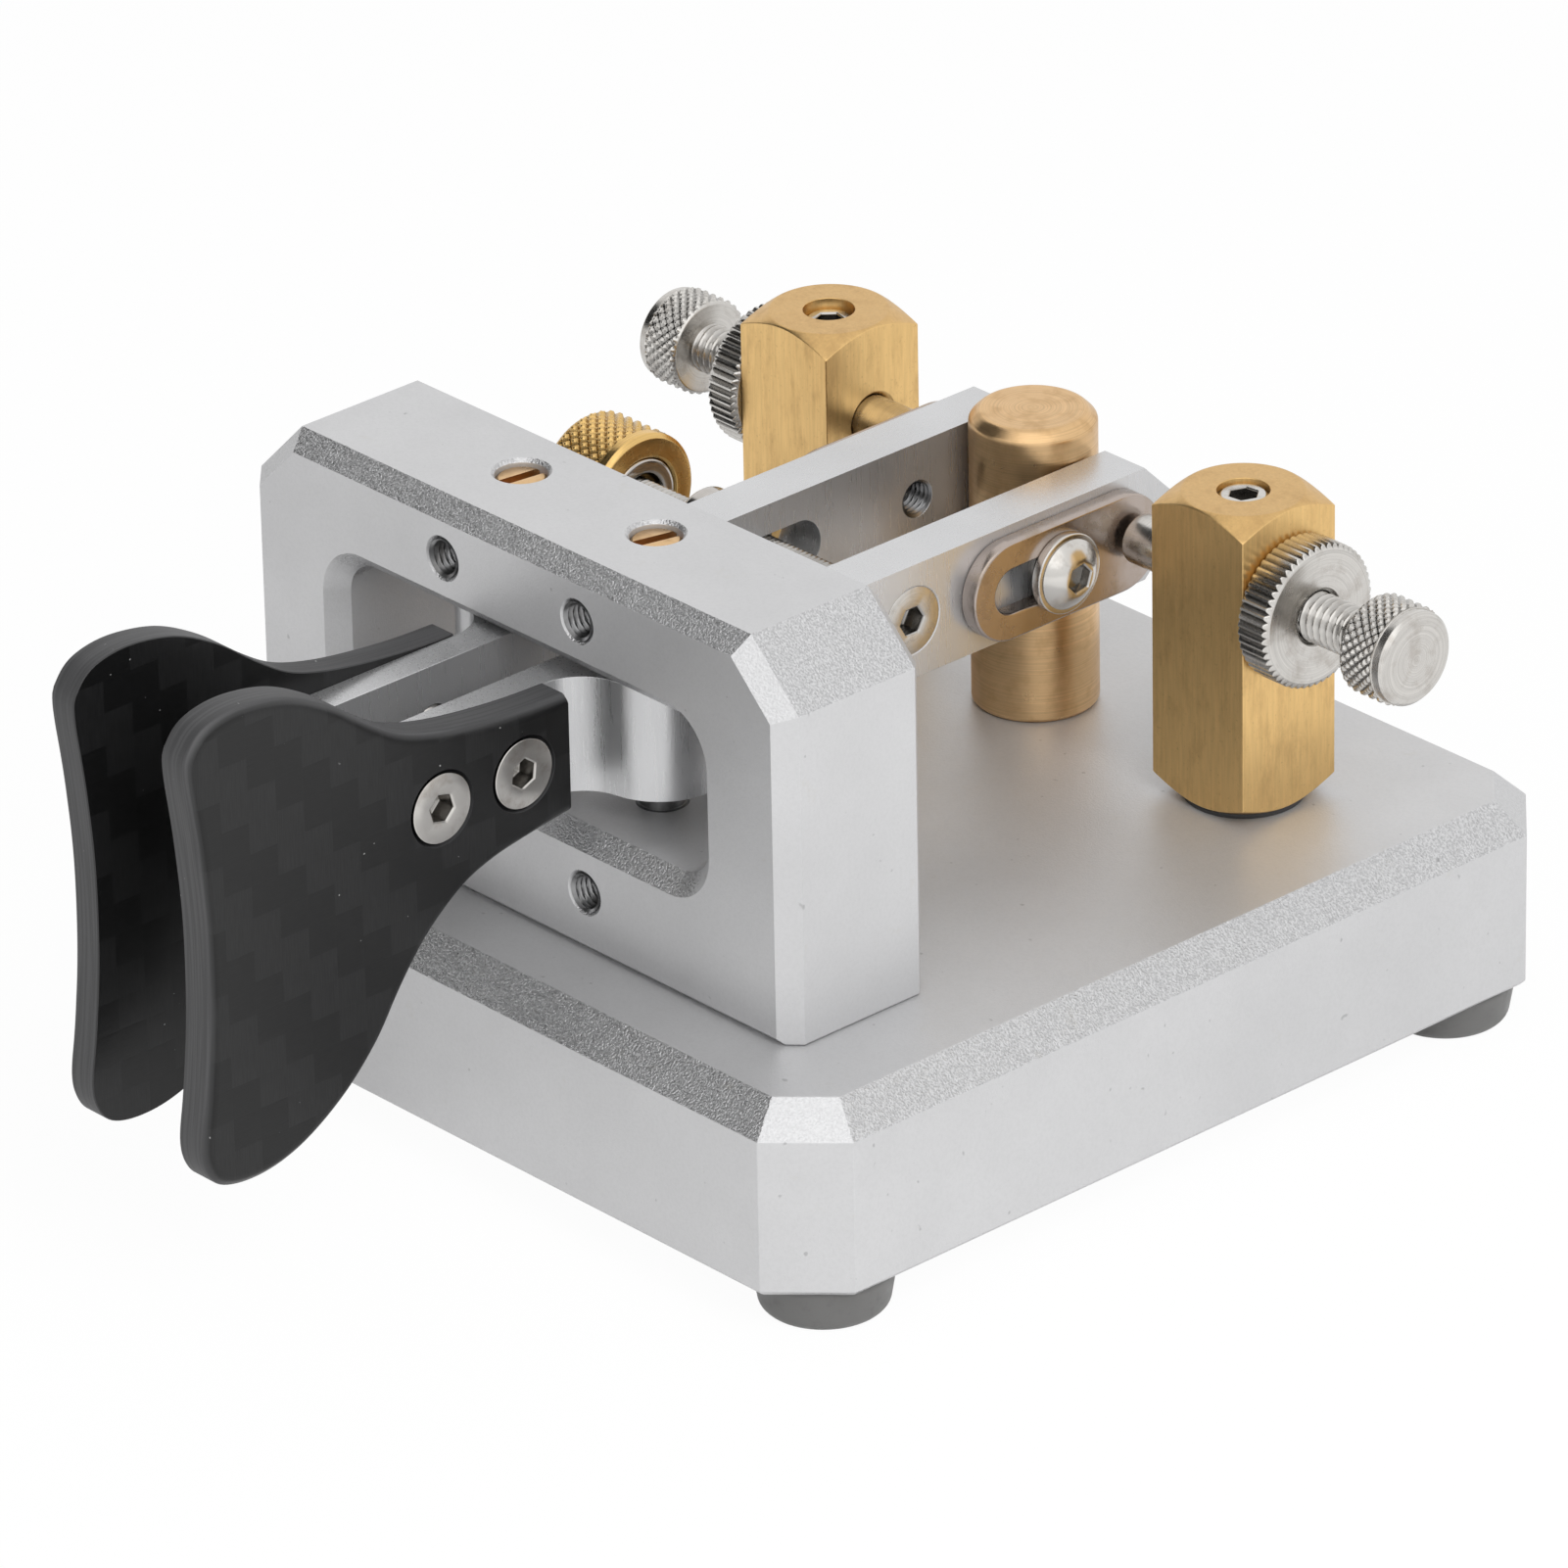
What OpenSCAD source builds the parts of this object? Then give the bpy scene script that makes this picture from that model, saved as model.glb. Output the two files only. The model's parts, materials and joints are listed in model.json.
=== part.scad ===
// Double paddle key: two levers turn on upright pivots in a yoke, and each one closes its own contact.
// Lengths are in millimetres. X points to the operator's right, Y to the back and Z up.
// Pieces are built with y = 0 at the base's front face and z = 0 at the base's underside.

/* [Base] */
// Width of the base block
base_w = 80; // [78:1:96]
// Depth of the base block
base_d = 80; // [80:1:92]
// Height of the base block
base_h = 15.4; // [14.6:0.2:20]
// Cut across each upright corner of the base
base_corner = 5; // [1:0.5:7]
// Bevel round the top edge of the base
base_edge = 2.5; // [0.5:0.25:3.5]
// Bevel round the bottom edge of the base
base_sole_edge = 0.45; // [0.2:0.05:1]
// Depth of the pockets and the wiring channel in the underside
pocket_depth = 9; // [8.6:0.2:10]
// Diameter of the round pockets under the posts
pocket_d = 10.5; // [10:0.1:10.8]
// Width of the wiring channel that joins the pockets
channel_w = 6; // [5:0.5:8]

/* [Feet] */
// Diameter of a rubber foot where it meets the base
foot_d = 11; // [9:0.5:12]
// Diameter of a rubber foot at the floor
foot_sole_d = 9.2; // [7:0.2:10]
// Height of a rubber foot
foot_h = 3.7; // [2.5:0.1:6]
// Distance from a foot's centre to the side of the base
foot_inset_x = 6.2; // [6:0.2:8]
// Distance from a foot's centre to the front or back of the base
foot_inset_y = 7.5; // [6.5:0.5:8]

/* [Yoke] */
// Width of the yoke
yoke_w = 60; // [56:1:68]
// Thickness of the yoke from front to back
yoke_t = 14.5; // [13.5:0.5:16]
// Height of the yoke above the base
yoke_h = 32; // [31:0.5:38]
// Distance from the base's front face to the yoke's front face
yoke_front = 8; // [6:0.5:10]
// Cut across the yoke's two top corners
yoke_corner = 5; // [2:0.5:7]
// Bevel round the yoke's front and back edges
yoke_edge = 1.5; // [0.5:0.25:2]
// Bevel along the yoke's bottom edges
yoke_seat_edge = 0.6; // [0.3:0.1:1]
// Width of the window that the levers pass through
window_w = 40; // [38:1:42]
// Height of the window
window_h = 13; // [12.6:0.2:14]
// Height of the window's sill above the base
window_sill = 9.85; // [9.25:0.1:10.5]
// Radius of the window's corners
window_r = 3; // [1.5:0.5:4]
// Bevel round the window's front and back edges
window_edge = 1.5; // [0.5:0.25:2]
// Distance from the centre line to each yoke screw
yoke_screw_x = 24; // [23:0.5:25]

/* [Pivots] */
// Distance from the centre line to each pivot
pivot_x = 7.5; // [7.3:0.1:7.9]
// Distance from the yoke's front face to the pivots
pivot_setback = 8; // [7.5:0.25:8.5]
// Diameter of a pivot screw
pivot_screw_d = 4; // [3.6:0.1:4.4]
// Diameter of the journal that a lever turns on
journal_d = 2; // [1.6:0.1:2.2]
// Length of a journal inside the lever
journal_depth = 2.5; // [1.5:0.25:3.5]
// Diameter of the collar that a lever stands on
collar_d = 3.5; // [3:0.1:3.9]
// How far the right pivot screw lies below the yoke's top
pivot_recess = 1.1; // [0.9:0.1:2]
// How much higher the left lever is set than the right one
left_lift = 0.6; // [0:0.1:0.7]

/* [Levers] */
// Height of a lever
lever_h = 9.5; // [8:0.25:9.5]
// Gap between the window's sill and the right lever
lever_float = 2.5; // [2.1:0.1:2.6]
// Thickness of a lever's rear arm
rear_arm_t = 4.4; // [3.8:0.1:4.8]
// Length of a lever's rear arm behind the row of posts
rear_arm_overhang = 5.7; // [5.4:0.1:8]
// Cut across the upper and lower corners of the rear arm's end
rear_arm_corner = 3; // [1:0.25:3.5]
// Thickness of a lever's front arm
front_arm_t = 2.7; // [2.4:0.1:3]
// Length of a lever's front arm ahead of the pivot
front_arm_len = 26; // [24.5:0.5:29]
// Radius of the boss round the pivot
boss_r = 5.3; // [4.9:0.1:5.4]
// Radius of the fillet between the front arm and the boss
front_fillet_r = 4; // [2:0.25:5]
// Radius of the fillets between the rear arm and the boss
rear_fillet_r = 2; // [1:0.25:3]
// Swing of a lever at its contact before the contact closes
contact_gap = 0.45; // [0.43:0.01:0.6]

/* [Finger pieces] */
// Thickness of a finger piece
finger_t = 3; // [2.6:0.1:3.4]
// Length of a finger piece from front to back
finger_len = 36.3; // [32:0.5:44]
// Height of a finger piece
finger_h = 38.4; // [37.6:0.2:41]
// Bevel round a finger piece's outer face
finger_bevel = 0.65; // [0.3:0.05:0.9]
// Gap between a finger piece and the fillet behind it
finger_fillet_gap = 0.2; // [0.1:0.1:1]
// Distance from a finger piece's rear edge to its rear screw
finger_screw_inset = 4.5; // [4.2:0.1:5]
// Distance between the two screws of a finger piece
finger_screw_pitch = 8; // [7:0.5:8.5]

/* [Contacts] */
// Distance from the centre line to each contact post
post_x = 23; // [22.6:0.1:23.6]
// Distance from the row of posts to the base's back face
post_inset = 18.5; // [18.3:0.1:19.5]
// Width across a contact post's flat sides
post_w = 9.8; // [9.4:0.2:10.4]
// Height of a contact post
post_h = 25.1; // [24:0.5:30]
// Diameter of the turned disc at each end of a contact post
post_disc_d = 9.4; // [9.2:0.1:9.4]
// Slope of the turned end bevel in degrees
post_bevel_angle = 30; // [20:5:45]
// Thickness of the insulating washer under a contact post
washer_t = 0.4; // [0.3:0.1:1]
// Diameter of the insulating washer
washer_d = 9.4; // [9:0.1:9.8]
// Diameter of the centre post
centre_post_d = 10; // [9.6:0.1:10.2]
// Height of the centre post
centre_post_h = 24.7; // [23:0.5:28]
// Bevel round the centre post's top
centre_post_edge = 0.8; // [0.2:0.1:1.5]
// Height of the contact screws above the middle of the right lever
contact_rise = 0.5; // [0:0.1:0.6]
// Diameter of a contact screw's thread
contact_screw_d = 4; // [3.6:0.2:4.4]
// Diameter of a contact screw's knurled head
contact_head_d = 8; // [7:0.5:10]
// Length of a contact screw's knurled head
contact_head_len = 4.5; // [3.5:0.5:6]
// Length of thread between the lock nut and the knurled head
contact_thread_out = 5.8; // [5:0.2:9]
// Diameter of a lock nut
lock_nut_d = 11.6; // [10.5:0.1:12.4]
// Thickness of a lock nut
lock_nut_t = 3.2; // [2.5:0.1:4]
// Pitch of the grooves round a lock nut
lock_nut_groove_pitch = 0.675; // [0.5:0.025:0.9]
// Length of a contact plate
plate_len = 19.8; // [19:0.2:20.4]
// How far a contact plate reaches behind the contact screw
plate_overhang = 3.1; // [2.5:0.1:4]
// Distance from the contact screw forward to the plate's clamping screw
plate_screw_lead = 7.5; // [7:0.1:7.8]
// Height of a contact plate
plate_h = 8.1; // [7.4:0.1:8.4]
// Thickness of a contact plate
plate_t = 1.5; // [1.2:0.1:1.8]
// Length of the slot in a contact plate
plate_slot_len = 10; // [9:0.25:10.5]
// Height of the slot in a contact plate
plate_slot_h = 3.7; // [3.4:0.1:4]
// Distance from the plate's front end to its slot
plate_slot_inset = 2.3; // [2:0.1:2.8]

/* [Tension] */
// Place of the tension screw, as a share of the room between the yoke and the contact plates
tension_place_share = 0.875; // [0.6:0.005:0.95]
// Length of the tension screw
tension_screw_len = 40; // [38:0.5:44]
// Diameter of the two ring magnets that push each other apart
magnet_d = 6.5; // [6:0.1:7.2]
// Length of a ring magnet
magnet_len = 4.5; // [3.5:0.1:5]
// Distance between the left lever and the tension nut
nut_stand_off = 11.2; // [9.5:0.1:12.5]
// Diameter of the tension nut
nut_d = 10.6; // [9.5:0.1:12]
// Length of the tension nut
nut_len = 6.3; // [6:0.1:7]

/* [Fasteners] */
// Diameter of the small screws' thread
small_screw_d = 3; // [2.8:0.1:3]
// Head diameter of a small countersunk screw
small_flat_head_d = 5.6; // [5.2:0.1:6]
// Depth of a small countersunk head's cone
small_flat_head_t = 1.4; // [1.2:0.1:1.5]
// Head diameter of a small button screw
small_button_head_d = 5.7; // [5.4:0.1:6]
// Head height of a small button screw
small_button_head_t = 1.65; // [1.4:0.05:1.8]
// Width across the flats of a small hexagon socket
small_socket_af = 2; // [1.8:0.1:2]
// Diameter of the washer under a button screw
small_washer_d = 6.5; // [6.2:0.1:7]
// Thickness of the washer under a button screw
small_washer_t = 0.8; // [0.4:0.1:0.9]
// Diameter of the large screws' thread
large_screw_d = 4; // [3.8:0.1:4]
// Head diameter of a large pan screw
large_pan_head_d = 7; // [6.6:0.1:7.2]
// Head height of a large pan screw
large_pan_head_t = 2.6; // [2.2:0.1:2.6]
// Head diameter of a large cap screw
large_cap_head_d = 7; // [6.6:0.1:7.2]
// Head height of a large cap screw
large_cap_head_t = 4; // [3.6:0.1:4]
// Width across the flats of a large cap screw's socket
large_socket_af = 3; // [2.6:0.1:3.2]

/* [Jack] */
// Diameter of the plug hole
jack_bore_d = 3.6; // [3.5:0.05:3.8]
// Length of the plug hole
jack_bore_len = 14; // [12.5:0.25:14.25]
// Diameter of the jack's threaded neck
jack_neck_d = 6; // [5.6:0.2:6.6]
// Width of the jack's body
jack_body_w = 7.6; // [7:0.2:8]
// Height of the jack's body
jack_body_h = 7.2; // [6.8:0.2:7.4]
// Length of the jack's body
jack_body_len = 9.7; // [9.5:0.1:9.9]
// Thickness of the base's wall behind the jack's body
jack_wall_t = 3; // [2.6:0.1:3.1]
// Diameter of the jack's ring nut
jack_nut_d = 8; // [7.6:0.2:8.4]
// Thickness of the jack's ring nut
jack_nut_t = 1.6; // [1.3:0.1:1.7]

/* [Hidden] */
$fn = 64;

// Clearances
running_gap = 0.03;
thread_gap = 0.04;
face_gap = 0.05;
rest_gap = 0.1;
hole_gap = 0.2;
slide_gap = 0.6;
cut_over = 1;

// Small sizes of turned and milled details
small_edge = 0.3;
tip_edge = 0.4;
slot_w = 0.8;
slot_depth = 1;
socket_depth = 1.6;
button_socket_depth = 1;
left_slot_turn = 82;
right_slot_turn = 76;
lock_screw_len = 3;
lock_socket_af = 1.5;
lock_socket_depth = 1.2;
pin_stub_len = 8;
yoke_screw_len = 18;
yoke_counterbore_depth = 5;
yoke_counterbore_d = 8;
post_screw_len = 16;
post_tap_len = 9;
grub_len = 5;
grub_back_off = 0.5;
bush_d = 6.3;
bush_flange_d = 9.4;
bush_flange_t = 1;
lug_d = 7;
lug_t = 0.8;
lug_tail_w = 2.4;
lug_tail_reach = 9.5;
tension_slot_len = 8.2;
tension_slot_h = 4.4;
tension_rise = 0.1;
magnet_hole_d = 4;
nut_collar_len = 1.4;
head_edge = 0.35;
head_collar_len = 1.1;
knurl_depth = 0.25;
foot_rim = 0.8;
foot_rim_steps = 5;
jack_drop = 0.2;
jack_nut_notch_w = 1;
jack_tag_w = 1;
jack_tag_t = 0.4;
jack_tag_len = 1.5;
jack_tag_pitch = 2.4;
jack_tag_drop = -2.2;
wire_d = 1.3;
wire_sides = 8;
wire_steps = 4;

// Places worked out from the sizes above
base_top = base_h;
foot_x = base_w / 2 - foot_inset_x;
yoke_back = yoke_front + yoke_t;
yoke_mid_y = yoke_front + yoke_t / 2;
yoke_top = base_top + yoke_h;
window_low = base_top + window_sill;
window_high = window_low + window_h;
window_mid_z = (window_low + window_high) / 2;
pivot_y = yoke_front + pivot_setback;
upper_lock_z = (window_high + yoke_top) / 2;
lower_lock_z = (base_top + window_low) / 2;
post_y = base_d - post_inset;
post_low = base_top + washer_t;
post_high = post_low + post_h;
post_out = post_x + post_w / 2;
lever_low = window_low + lever_float;
lever_mid_z = lever_low + lever_h / 2;
lever_high = lever_low + lever_h;
rear_arm_in = centre_post_d / 2 + rest_gap;
rear_arm_out = rear_arm_in + rear_arm_t;
rear_arm_end = post_y + rear_arm_overhang;
front_arm_in = pivot_x - boss_r;
front_arm_out = front_arm_in + front_arm_t;
front_arm_end = pivot_y - front_arm_len;
front_fillet_x = front_arm_out + front_fillet_r;
front_fillet_end = pivot_y - sqrt(pow(boss_r + front_fillet_r, 2) - pow(front_fillet_x - pivot_x, 2));
finger_rear = front_fillet_end - finger_fillet_gap;
finger_out = front_arm_out + finger_t;
finger_screw_ys = [for (k = [0, 1]) finger_rear - finger_screw_inset - k * finger_screw_pitch];
plate_out = rear_arm_out + plate_t;
plate_mid_y = post_y + plate_overhang - plate_len / 2;
plate_screw_y = post_y - plate_screw_lead;
contact_z = lever_mid_z + contact_rise;
nose_x = plate_out + contact_gap;
lock_nut_in = post_out + face_gap;
head_in = lock_nut_in + lock_nut_t + contact_thread_out;
tension_first_y = yoke_back + nut_d / 2 + face_gap;
tension_last_y = plate_mid_y - plate_len / 2 - magnet_d / 2 - face_gap;
tension_y = tension_first_y + tension_place_share * (tension_last_y - tension_first_y);
tension_z = lever_mid_z + tension_rise;
nut_in = rear_arm_out + nut_stand_off;
jack_nut_y = base_d - jack_drop - jack_nut_t;
jack_body_back = jack_nut_y - jack_wall_t;
jack_body_front = jack_body_back - jack_body_len;
jack_z = pocket_depth - jack_drop - jack_body_h / 2;

// Finger piece outline: shares of its length, from the rear edge forward, and of its height
finger_shares = [[0, 0.746], [0.11, 0.75], [0.235, 0.762], [0.345, 0.78], [0.44, 0.809],
    [0.525, 0.86], [0.62, 0.927], [0.73, 0.98], [0.85, 1], [0.94, 0.987], [0.986, 0.95],
    [1, 0.9], [0.98, 0.745], [0.965, 0.565], [0.967, 0.37], [0.982, 0.215], [0.997, 0.11],
    [0.985, 0.052], [0.95, 0.015], [0.885, 0], [0.8, 0.006], [0.71, 0.037], [0.61, 0.1],
    [0.525, 0.182], [0.46, 0.272], [0.385, 0.358], [0.29, 0.427], [0.205, 0.459],
    [0.1, 0.478], [0, 0.492]];
// Height of the finger piece's rear edge centre, as a share of its height
finger_grip_share = (0.746 + 0.492) / 2;
finger_low = lever_mid_z - finger_grip_share * finger_h;
finger_steps = 3;

// One point of a smooth curve between b and c, t from 0 to 1
function curve_point(a, b, c, d, t) =
    (2 * b + (c - a) * t + (2 * a - 5 * b + 4 * c - d) * t * t + (3 * b - a - 3 * c + d) * t * t * t) / 2;

// Finger piece outline as [y, z] points, from the rear edge's top to its bottom
function finger_outline() =
    let (p = [for (s = finger_shares) [finger_rear - s.x * finger_len, finger_low + s.y * finger_h]],
         last = len(p) - 1)
    [for (i = [0 : last - 1], k = [0 : finger_steps - 1])
        curve_point(p[max(i - 1, 0)], p[i], p[i + 1], p[min(i + 2, last)], k / finger_steps),
     p[last]];

// The same outline drawn in by a distance, with the rear edge kept in line
function drawn_in(p, d) =
    let (last = len(p) - 1)
    [for (i = [0 : last])
        i == 0 ? p[i] - [0, d] : i == last ? p[i] + [0, d] :
        let (run = p[i + 1] - p[i - 1]) p[i] + d * [-run.y, run.x] / norm(run)];

finger_points = finger_outline();
finger_tip = min([for (p = finger_points) p.x]);

// Middle of the whole key from front to back
mid_y = (finger_tip + base_d) / 2;

// Sets a piece into the key's own frame: middle at x = y = 0, soles of the feet at z = 0
module placed() {
    translate([0, -mid_y, foot_h]) children();
}

// Height that a lever and all that it carries are raised by: side is 1 on the right and -1 on the left
function lift(side) = side < 0 ? left_lift : 0;

// A right-hand piece as drawn, or its mirror image on the left
module mirrored(side) {
    if (side > 0) children();
    else mirror([1, 0, 0]) children();
}

// The same for what a lever carries, raised by that lever's lift
module on_lever(side) {
    translate([0, 0, lift(side)]) mirrored(side) children();
}

// Round bar along X from x = a to x = b
module bar_x(a, b, d) {
    translate([a, 0, 0]) rotate([0, 90, 0]) cylinder(h = b - a, d = d);
}

// Cone along X from diameter d1 at x = a to diameter d2 at x = b
module cone_x(a, b, d1, d2) {
    translate([a, 0, 0]) rotate([0, 90, 0]) cylinder(h = b - a, d1 = d1, d2 = d2);
}

// Hexagon socket of a given width across its flats, cut downward from z = 0
module hex_socket(af, depth) {
    translate([0, 0, -depth]) cylinder(h = depth + cut_over, d = af / cos(30), $fn = 6);
}

// Screw with a countersunk head: the flat top at z = 0, thread downward
module flat_head_screw(length) {
    difference() {
        union() {
            translate([0, 0, -small_flat_head_t])
                cylinder(h = small_flat_head_t, d1 = small_screw_d, d2 = small_flat_head_d);
            translate([0, 0, tip_edge - length])
                cylinder(h = length - tip_edge - small_flat_head_t, d = small_screw_d);
            translate([0, 0, -length])
                cylinder(h = tip_edge, d1 = small_screw_d - 2 * tip_edge, d2 = small_screw_d);
        }
        hex_socket(small_socket_af, socket_depth);
    }
}

// Hole for a countersunk screw, with a gap round its thread: the mouth at z = 0, bore downward
module flat_head_hole(length, gap) {
    head_d = small_flat_head_d + 2 * thread_gap;
    bore_d = small_screw_d + 2 * gap;
    translate([0, 0, -length]) cylinder(h = length, d = bore_d);
    translate([0, 0, -small_flat_head_t]) cylinder(h = small_flat_head_t, d1 = bore_d, d2 = head_d);
    cylinder(h = cut_over, d = head_d);
}

// Slot with round ends, centred
module obround(w, h) {
    square([w - h, h], center = true);
    for (x = [-1, 1]) translate([x * (w - h) / 2, 0]) circle(d = h);
}

// Rectangle with round corners, centred
module rounded_rect(w, h, r) {
    square([w - 2 * r, h], center = true);
    square([w, h - 2 * r], center = true);
    for (x = [-1, 1], y = [-1, 1]) translate([x * (w / 2 - r), y * (h / 2 - r)]) circle(r);
}

// Flared mouth of a rounded rectangle: wide at z = 0, narrow at z = e
module flared_mouth(w, h, r, e) {
    for (x = [-1, 1], y = [-1, 1]) translate([x * (w / 2 - r), y * (h / 2 - r), 0])
        cylinder(h = e, r1 = r + e, r2 = r);
    rotate([90, 0, 90]) linear_extrude(w - 2 * r, center = true)
        polygon([[-h / 2 - e, 0], [h / 2 + e, 0], [h / 2, e], [-h / 2, e]]);
    rotate([90, 0, 0]) linear_extrude(h - 2 * r, center = true)
        polygon([[-w / 2 - e, 0], [w / 2 + e, 0], [w / 2, e], [-w / 2, e]]);
}

// Bevelled side view of the base block, as wide as the block measures in one direction
module block_profile(across) {
    polygon([[base_sole_edge - across / 2, 0], [across / 2 - base_sole_edge, 0],
        [across / 2, base_sole_edge], [across / 2, base_h - base_edge],
        [across / 2 - base_edge, base_h], [base_edge - across / 2, base_h],
        [-across / 2, base_h - base_edge], [-across / 2, base_sole_edge]]);
}

// Base block with cut corners and bevelled edges, centred on x = y = 0
module base_block() {
    span = base_w + base_d;
    corner_across = (span - 2 * base_corner) / sqrt(2);
    intersection() {
        rotate([90, 0, 0]) linear_extrude(span, center = true) block_profile(base_w);
        rotate([90, 0, 90]) linear_extrude(span, center = true) block_profile(base_d);
        rotate([90, 0, 45]) linear_extrude(span, center = true) block_profile(corner_across);
        rotate([90, 0, 135]) linear_extrude(span, center = true) block_profile(corner_across);
    }
}

// Hole from the base's underside up to a height
module base_hole(x, y, top, d) {
    translate([x, y, -cut_over]) cylinder(h = top + cut_over, d = d);
}

// Pocket that holds the jack, and the stepped hole for its neck and ring nut
module jack_pocket() {
    pocket_w = jack_body_w + 2 * hole_gap;
    pocket_front = jack_body_front - jack_tag_len - hole_gap;
    translate([-pocket_w / 2, pocket_front, -cut_over])
        cube([pocket_w, jack_body_back + face_gap - pocket_front, pocket_depth + cut_over]);
    translate([0, base_d + cut_over, jack_z]) rotate([90, 0, 0]) {
        cylinder(h = base_d - jack_nut_y + cut_over, d = jack_nut_d + 2 * hole_gap);
        cylinder(h = base_d - jack_body_back + 2 * cut_over, d = jack_neck_d + 2 * thread_gap);
    }
}

module base_plate() {
    color("silver") difference() {
        translate([0, base_d / 2, 0]) base_block();
        for (x = [-post_x, 0, post_x]) base_hole(x, post_y, pocket_depth, pocket_d);
        for (x = [-post_x, post_x]) base_hole(x, post_y, base_h + cut_over, bush_d + 2 * thread_gap);
        base_hole(0, post_y, base_h + cut_over, large_screw_d + 2 * hole_gap);
        translate([-post_x, post_y - channel_w / 2, -cut_over])
            cube([2 * post_x, channel_w, pocket_depth + cut_over]);
        jack_pocket();
        for (x = [-yoke_screw_x, yoke_screw_x]) {
            base_hole(x, yoke_mid_y, yoke_counterbore_depth, yoke_counterbore_d);
            base_hole(x, yoke_mid_y, base_h + cut_over, large_screw_d + 2 * hole_gap);
        }
    }
}

// Foot with a rounded rim at the floor
module foot() {
    wall_foot = foot_sole_d / 2;
    rim = [for (i = [0 : foot_rim_steps]) let (a = 90 * i / foot_rim_steps)
        [wall_foot - foot_rim + foot_rim * sin(a), foot_rim - foot_h - foot_rim * cos(a)]];
    wall = [[foot_d / 2, -foot_rim], [foot_d / 2, 0], [0, 0]];
    rotate_extrude() polygon(concat([[0, -foot_h]], rim, wall));
}

module rubber_feet() {
    color("gainsboro") for (x = [-foot_x, foot_x], y = [foot_inset_y, base_d - foot_inset_y])
        translate([x, y, 0]) foot();
}

// Slab as thick as the yoke, cut off at a reach along one direction, with its two rims bevelled
module yoke_slab(angle, reach, edge) {
    span = yoke_w + yoke_h;
    rotate([0, -angle, 0]) linear_extrude(2 * span, center = true)
        polygon([[-span, 0], [reach - edge, 0], [reach, edge], [reach, yoke_t - edge],
            [reach - edge, yoke_t], [-span, yoke_t]]);
}

// Yoke block standing on z = 0 with its front face at y = 0
module yoke_block() {
    corner_reach = (yoke_w / 2 + yoke_h - yoke_corner) / sqrt(2);
    intersection() {
        yoke_slab(0, yoke_w / 2, yoke_edge);
        yoke_slab(45, corner_reach, yoke_edge);
        yoke_slab(90, yoke_h, yoke_edge);
        yoke_slab(135, corner_reach, yoke_edge);
        yoke_slab(180, yoke_w / 2, yoke_edge);
        yoke_slab(270, 0, yoke_seat_edge);
    }
}

// Window through the yoke, flared at both faces
module yoke_window() {
    translate([0, yoke_back + cut_over, window_mid_z]) rotate([90, 0, 0])
        linear_extrude(yoke_t + 2 * cut_over) rounded_rect(window_w, window_h, window_r);
    translate([0, yoke_front, window_mid_z]) rotate([-90, 0, 0])
        flared_mouth(window_w, window_h, window_r, window_edge);
    translate([0, yoke_back, window_mid_z]) rotate([90, 0, 0])
        flared_mouth(window_w, window_h, window_r, window_edge);
}

// Tapped hole for a lock screw, from the yoke's front face to the pivot's axis
module lock_screw_hole() {
    d = small_screw_d + 2 * thread_gap;
    rotate([-90, 0, 0]) {
        translate([0, 0, -cut_over]) cylinder(h = pivot_setback + cut_over, d = d);
        cylinder(h = small_edge, d1 = d + 2 * small_edge, d2 = d);
    }
}

module yoke() {
    pivot_hole_d = pivot_screw_d + 2 * thread_gap;
    screw_room = pocket_depth + cut_over;
    color("silver") difference() {
        translate([0, yoke_front, base_top]) yoke_block();
        yoke_window();
        for (x = [-pivot_x, pivot_x]) {
            translate([x, pivot_y, window_mid_z]) cylinder(h = yoke_h, d = pivot_hole_d);
            translate([x, pivot_y, yoke_top - small_edge])
                cylinder(h = small_edge, d1 = pivot_hole_d, d2 = pivot_hole_d + 2 * small_edge);
            translate([x, pivot_y, window_low - pin_stub_len - face_gap])
                cylinder(h = pin_stub_len + face_gap + lever_float, d = pivot_hole_d);
            for (z = [lower_lock_z, upper_lock_z]) translate([x, yoke_front, z]) lock_screw_hole();
        }
        for (x = [-yoke_screw_x, yoke_screw_x]) translate([x, yoke_mid_y, base_top - cut_over])
            cylinder(h = screw_room, d = large_screw_d + 2 * thread_gap);
    }
}

module yoke_screws() {
    color("dimgray") for (x = [-yoke_screw_x, yoke_screw_x])
        translate([x, yoke_mid_y, yoke_counterbore_depth]) difference() {
            union() {
                translate([0, 0, -large_cap_head_t]) cylinder(h = large_cap_head_t, d = large_cap_head_d);
                cylinder(h = yoke_screw_len - tip_edge, d = large_screw_d);
                translate([0, 0, yoke_screw_len - tip_edge])
                    cylinder(h = tip_edge, d1 = large_screw_d, d2 = large_screw_d - 2 * tip_edge);
            }
            translate([0, 0, -large_cap_head_t]) rotate([180, 0, 0])
                hex_socket(large_socket_af, socket_depth);
        }
}

// Slotted screw in the yoke's top whose journal enters the lever from above
module pivot_screw(side) {
    journal_low = lever_high - journal_depth;
    top = yoke_top - pivot_recess;
    translate([side * pivot_x, pivot_y, lift(side)]) difference() {
        union() {
            translate([0, 0, window_high]) cylinder(h = top - window_high, d = pivot_screw_d);
            translate([0, 0, journal_low]) cylinder(h = window_high - journal_low, d = journal_d);
        }
        translate([0, 0, top]) rotate([0, 0, side < 0 ? left_slot_turn : right_slot_turn])
            translate([-pivot_screw_d, -slot_w / 2, -slot_depth])
                cube([2 * pivot_screw_d, slot_w, slot_depth + cut_over]);
    }
}

module pivot_screws() {
    color("goldenrod") for (side = [-1, 1]) pivot_screw(side);
}

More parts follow.
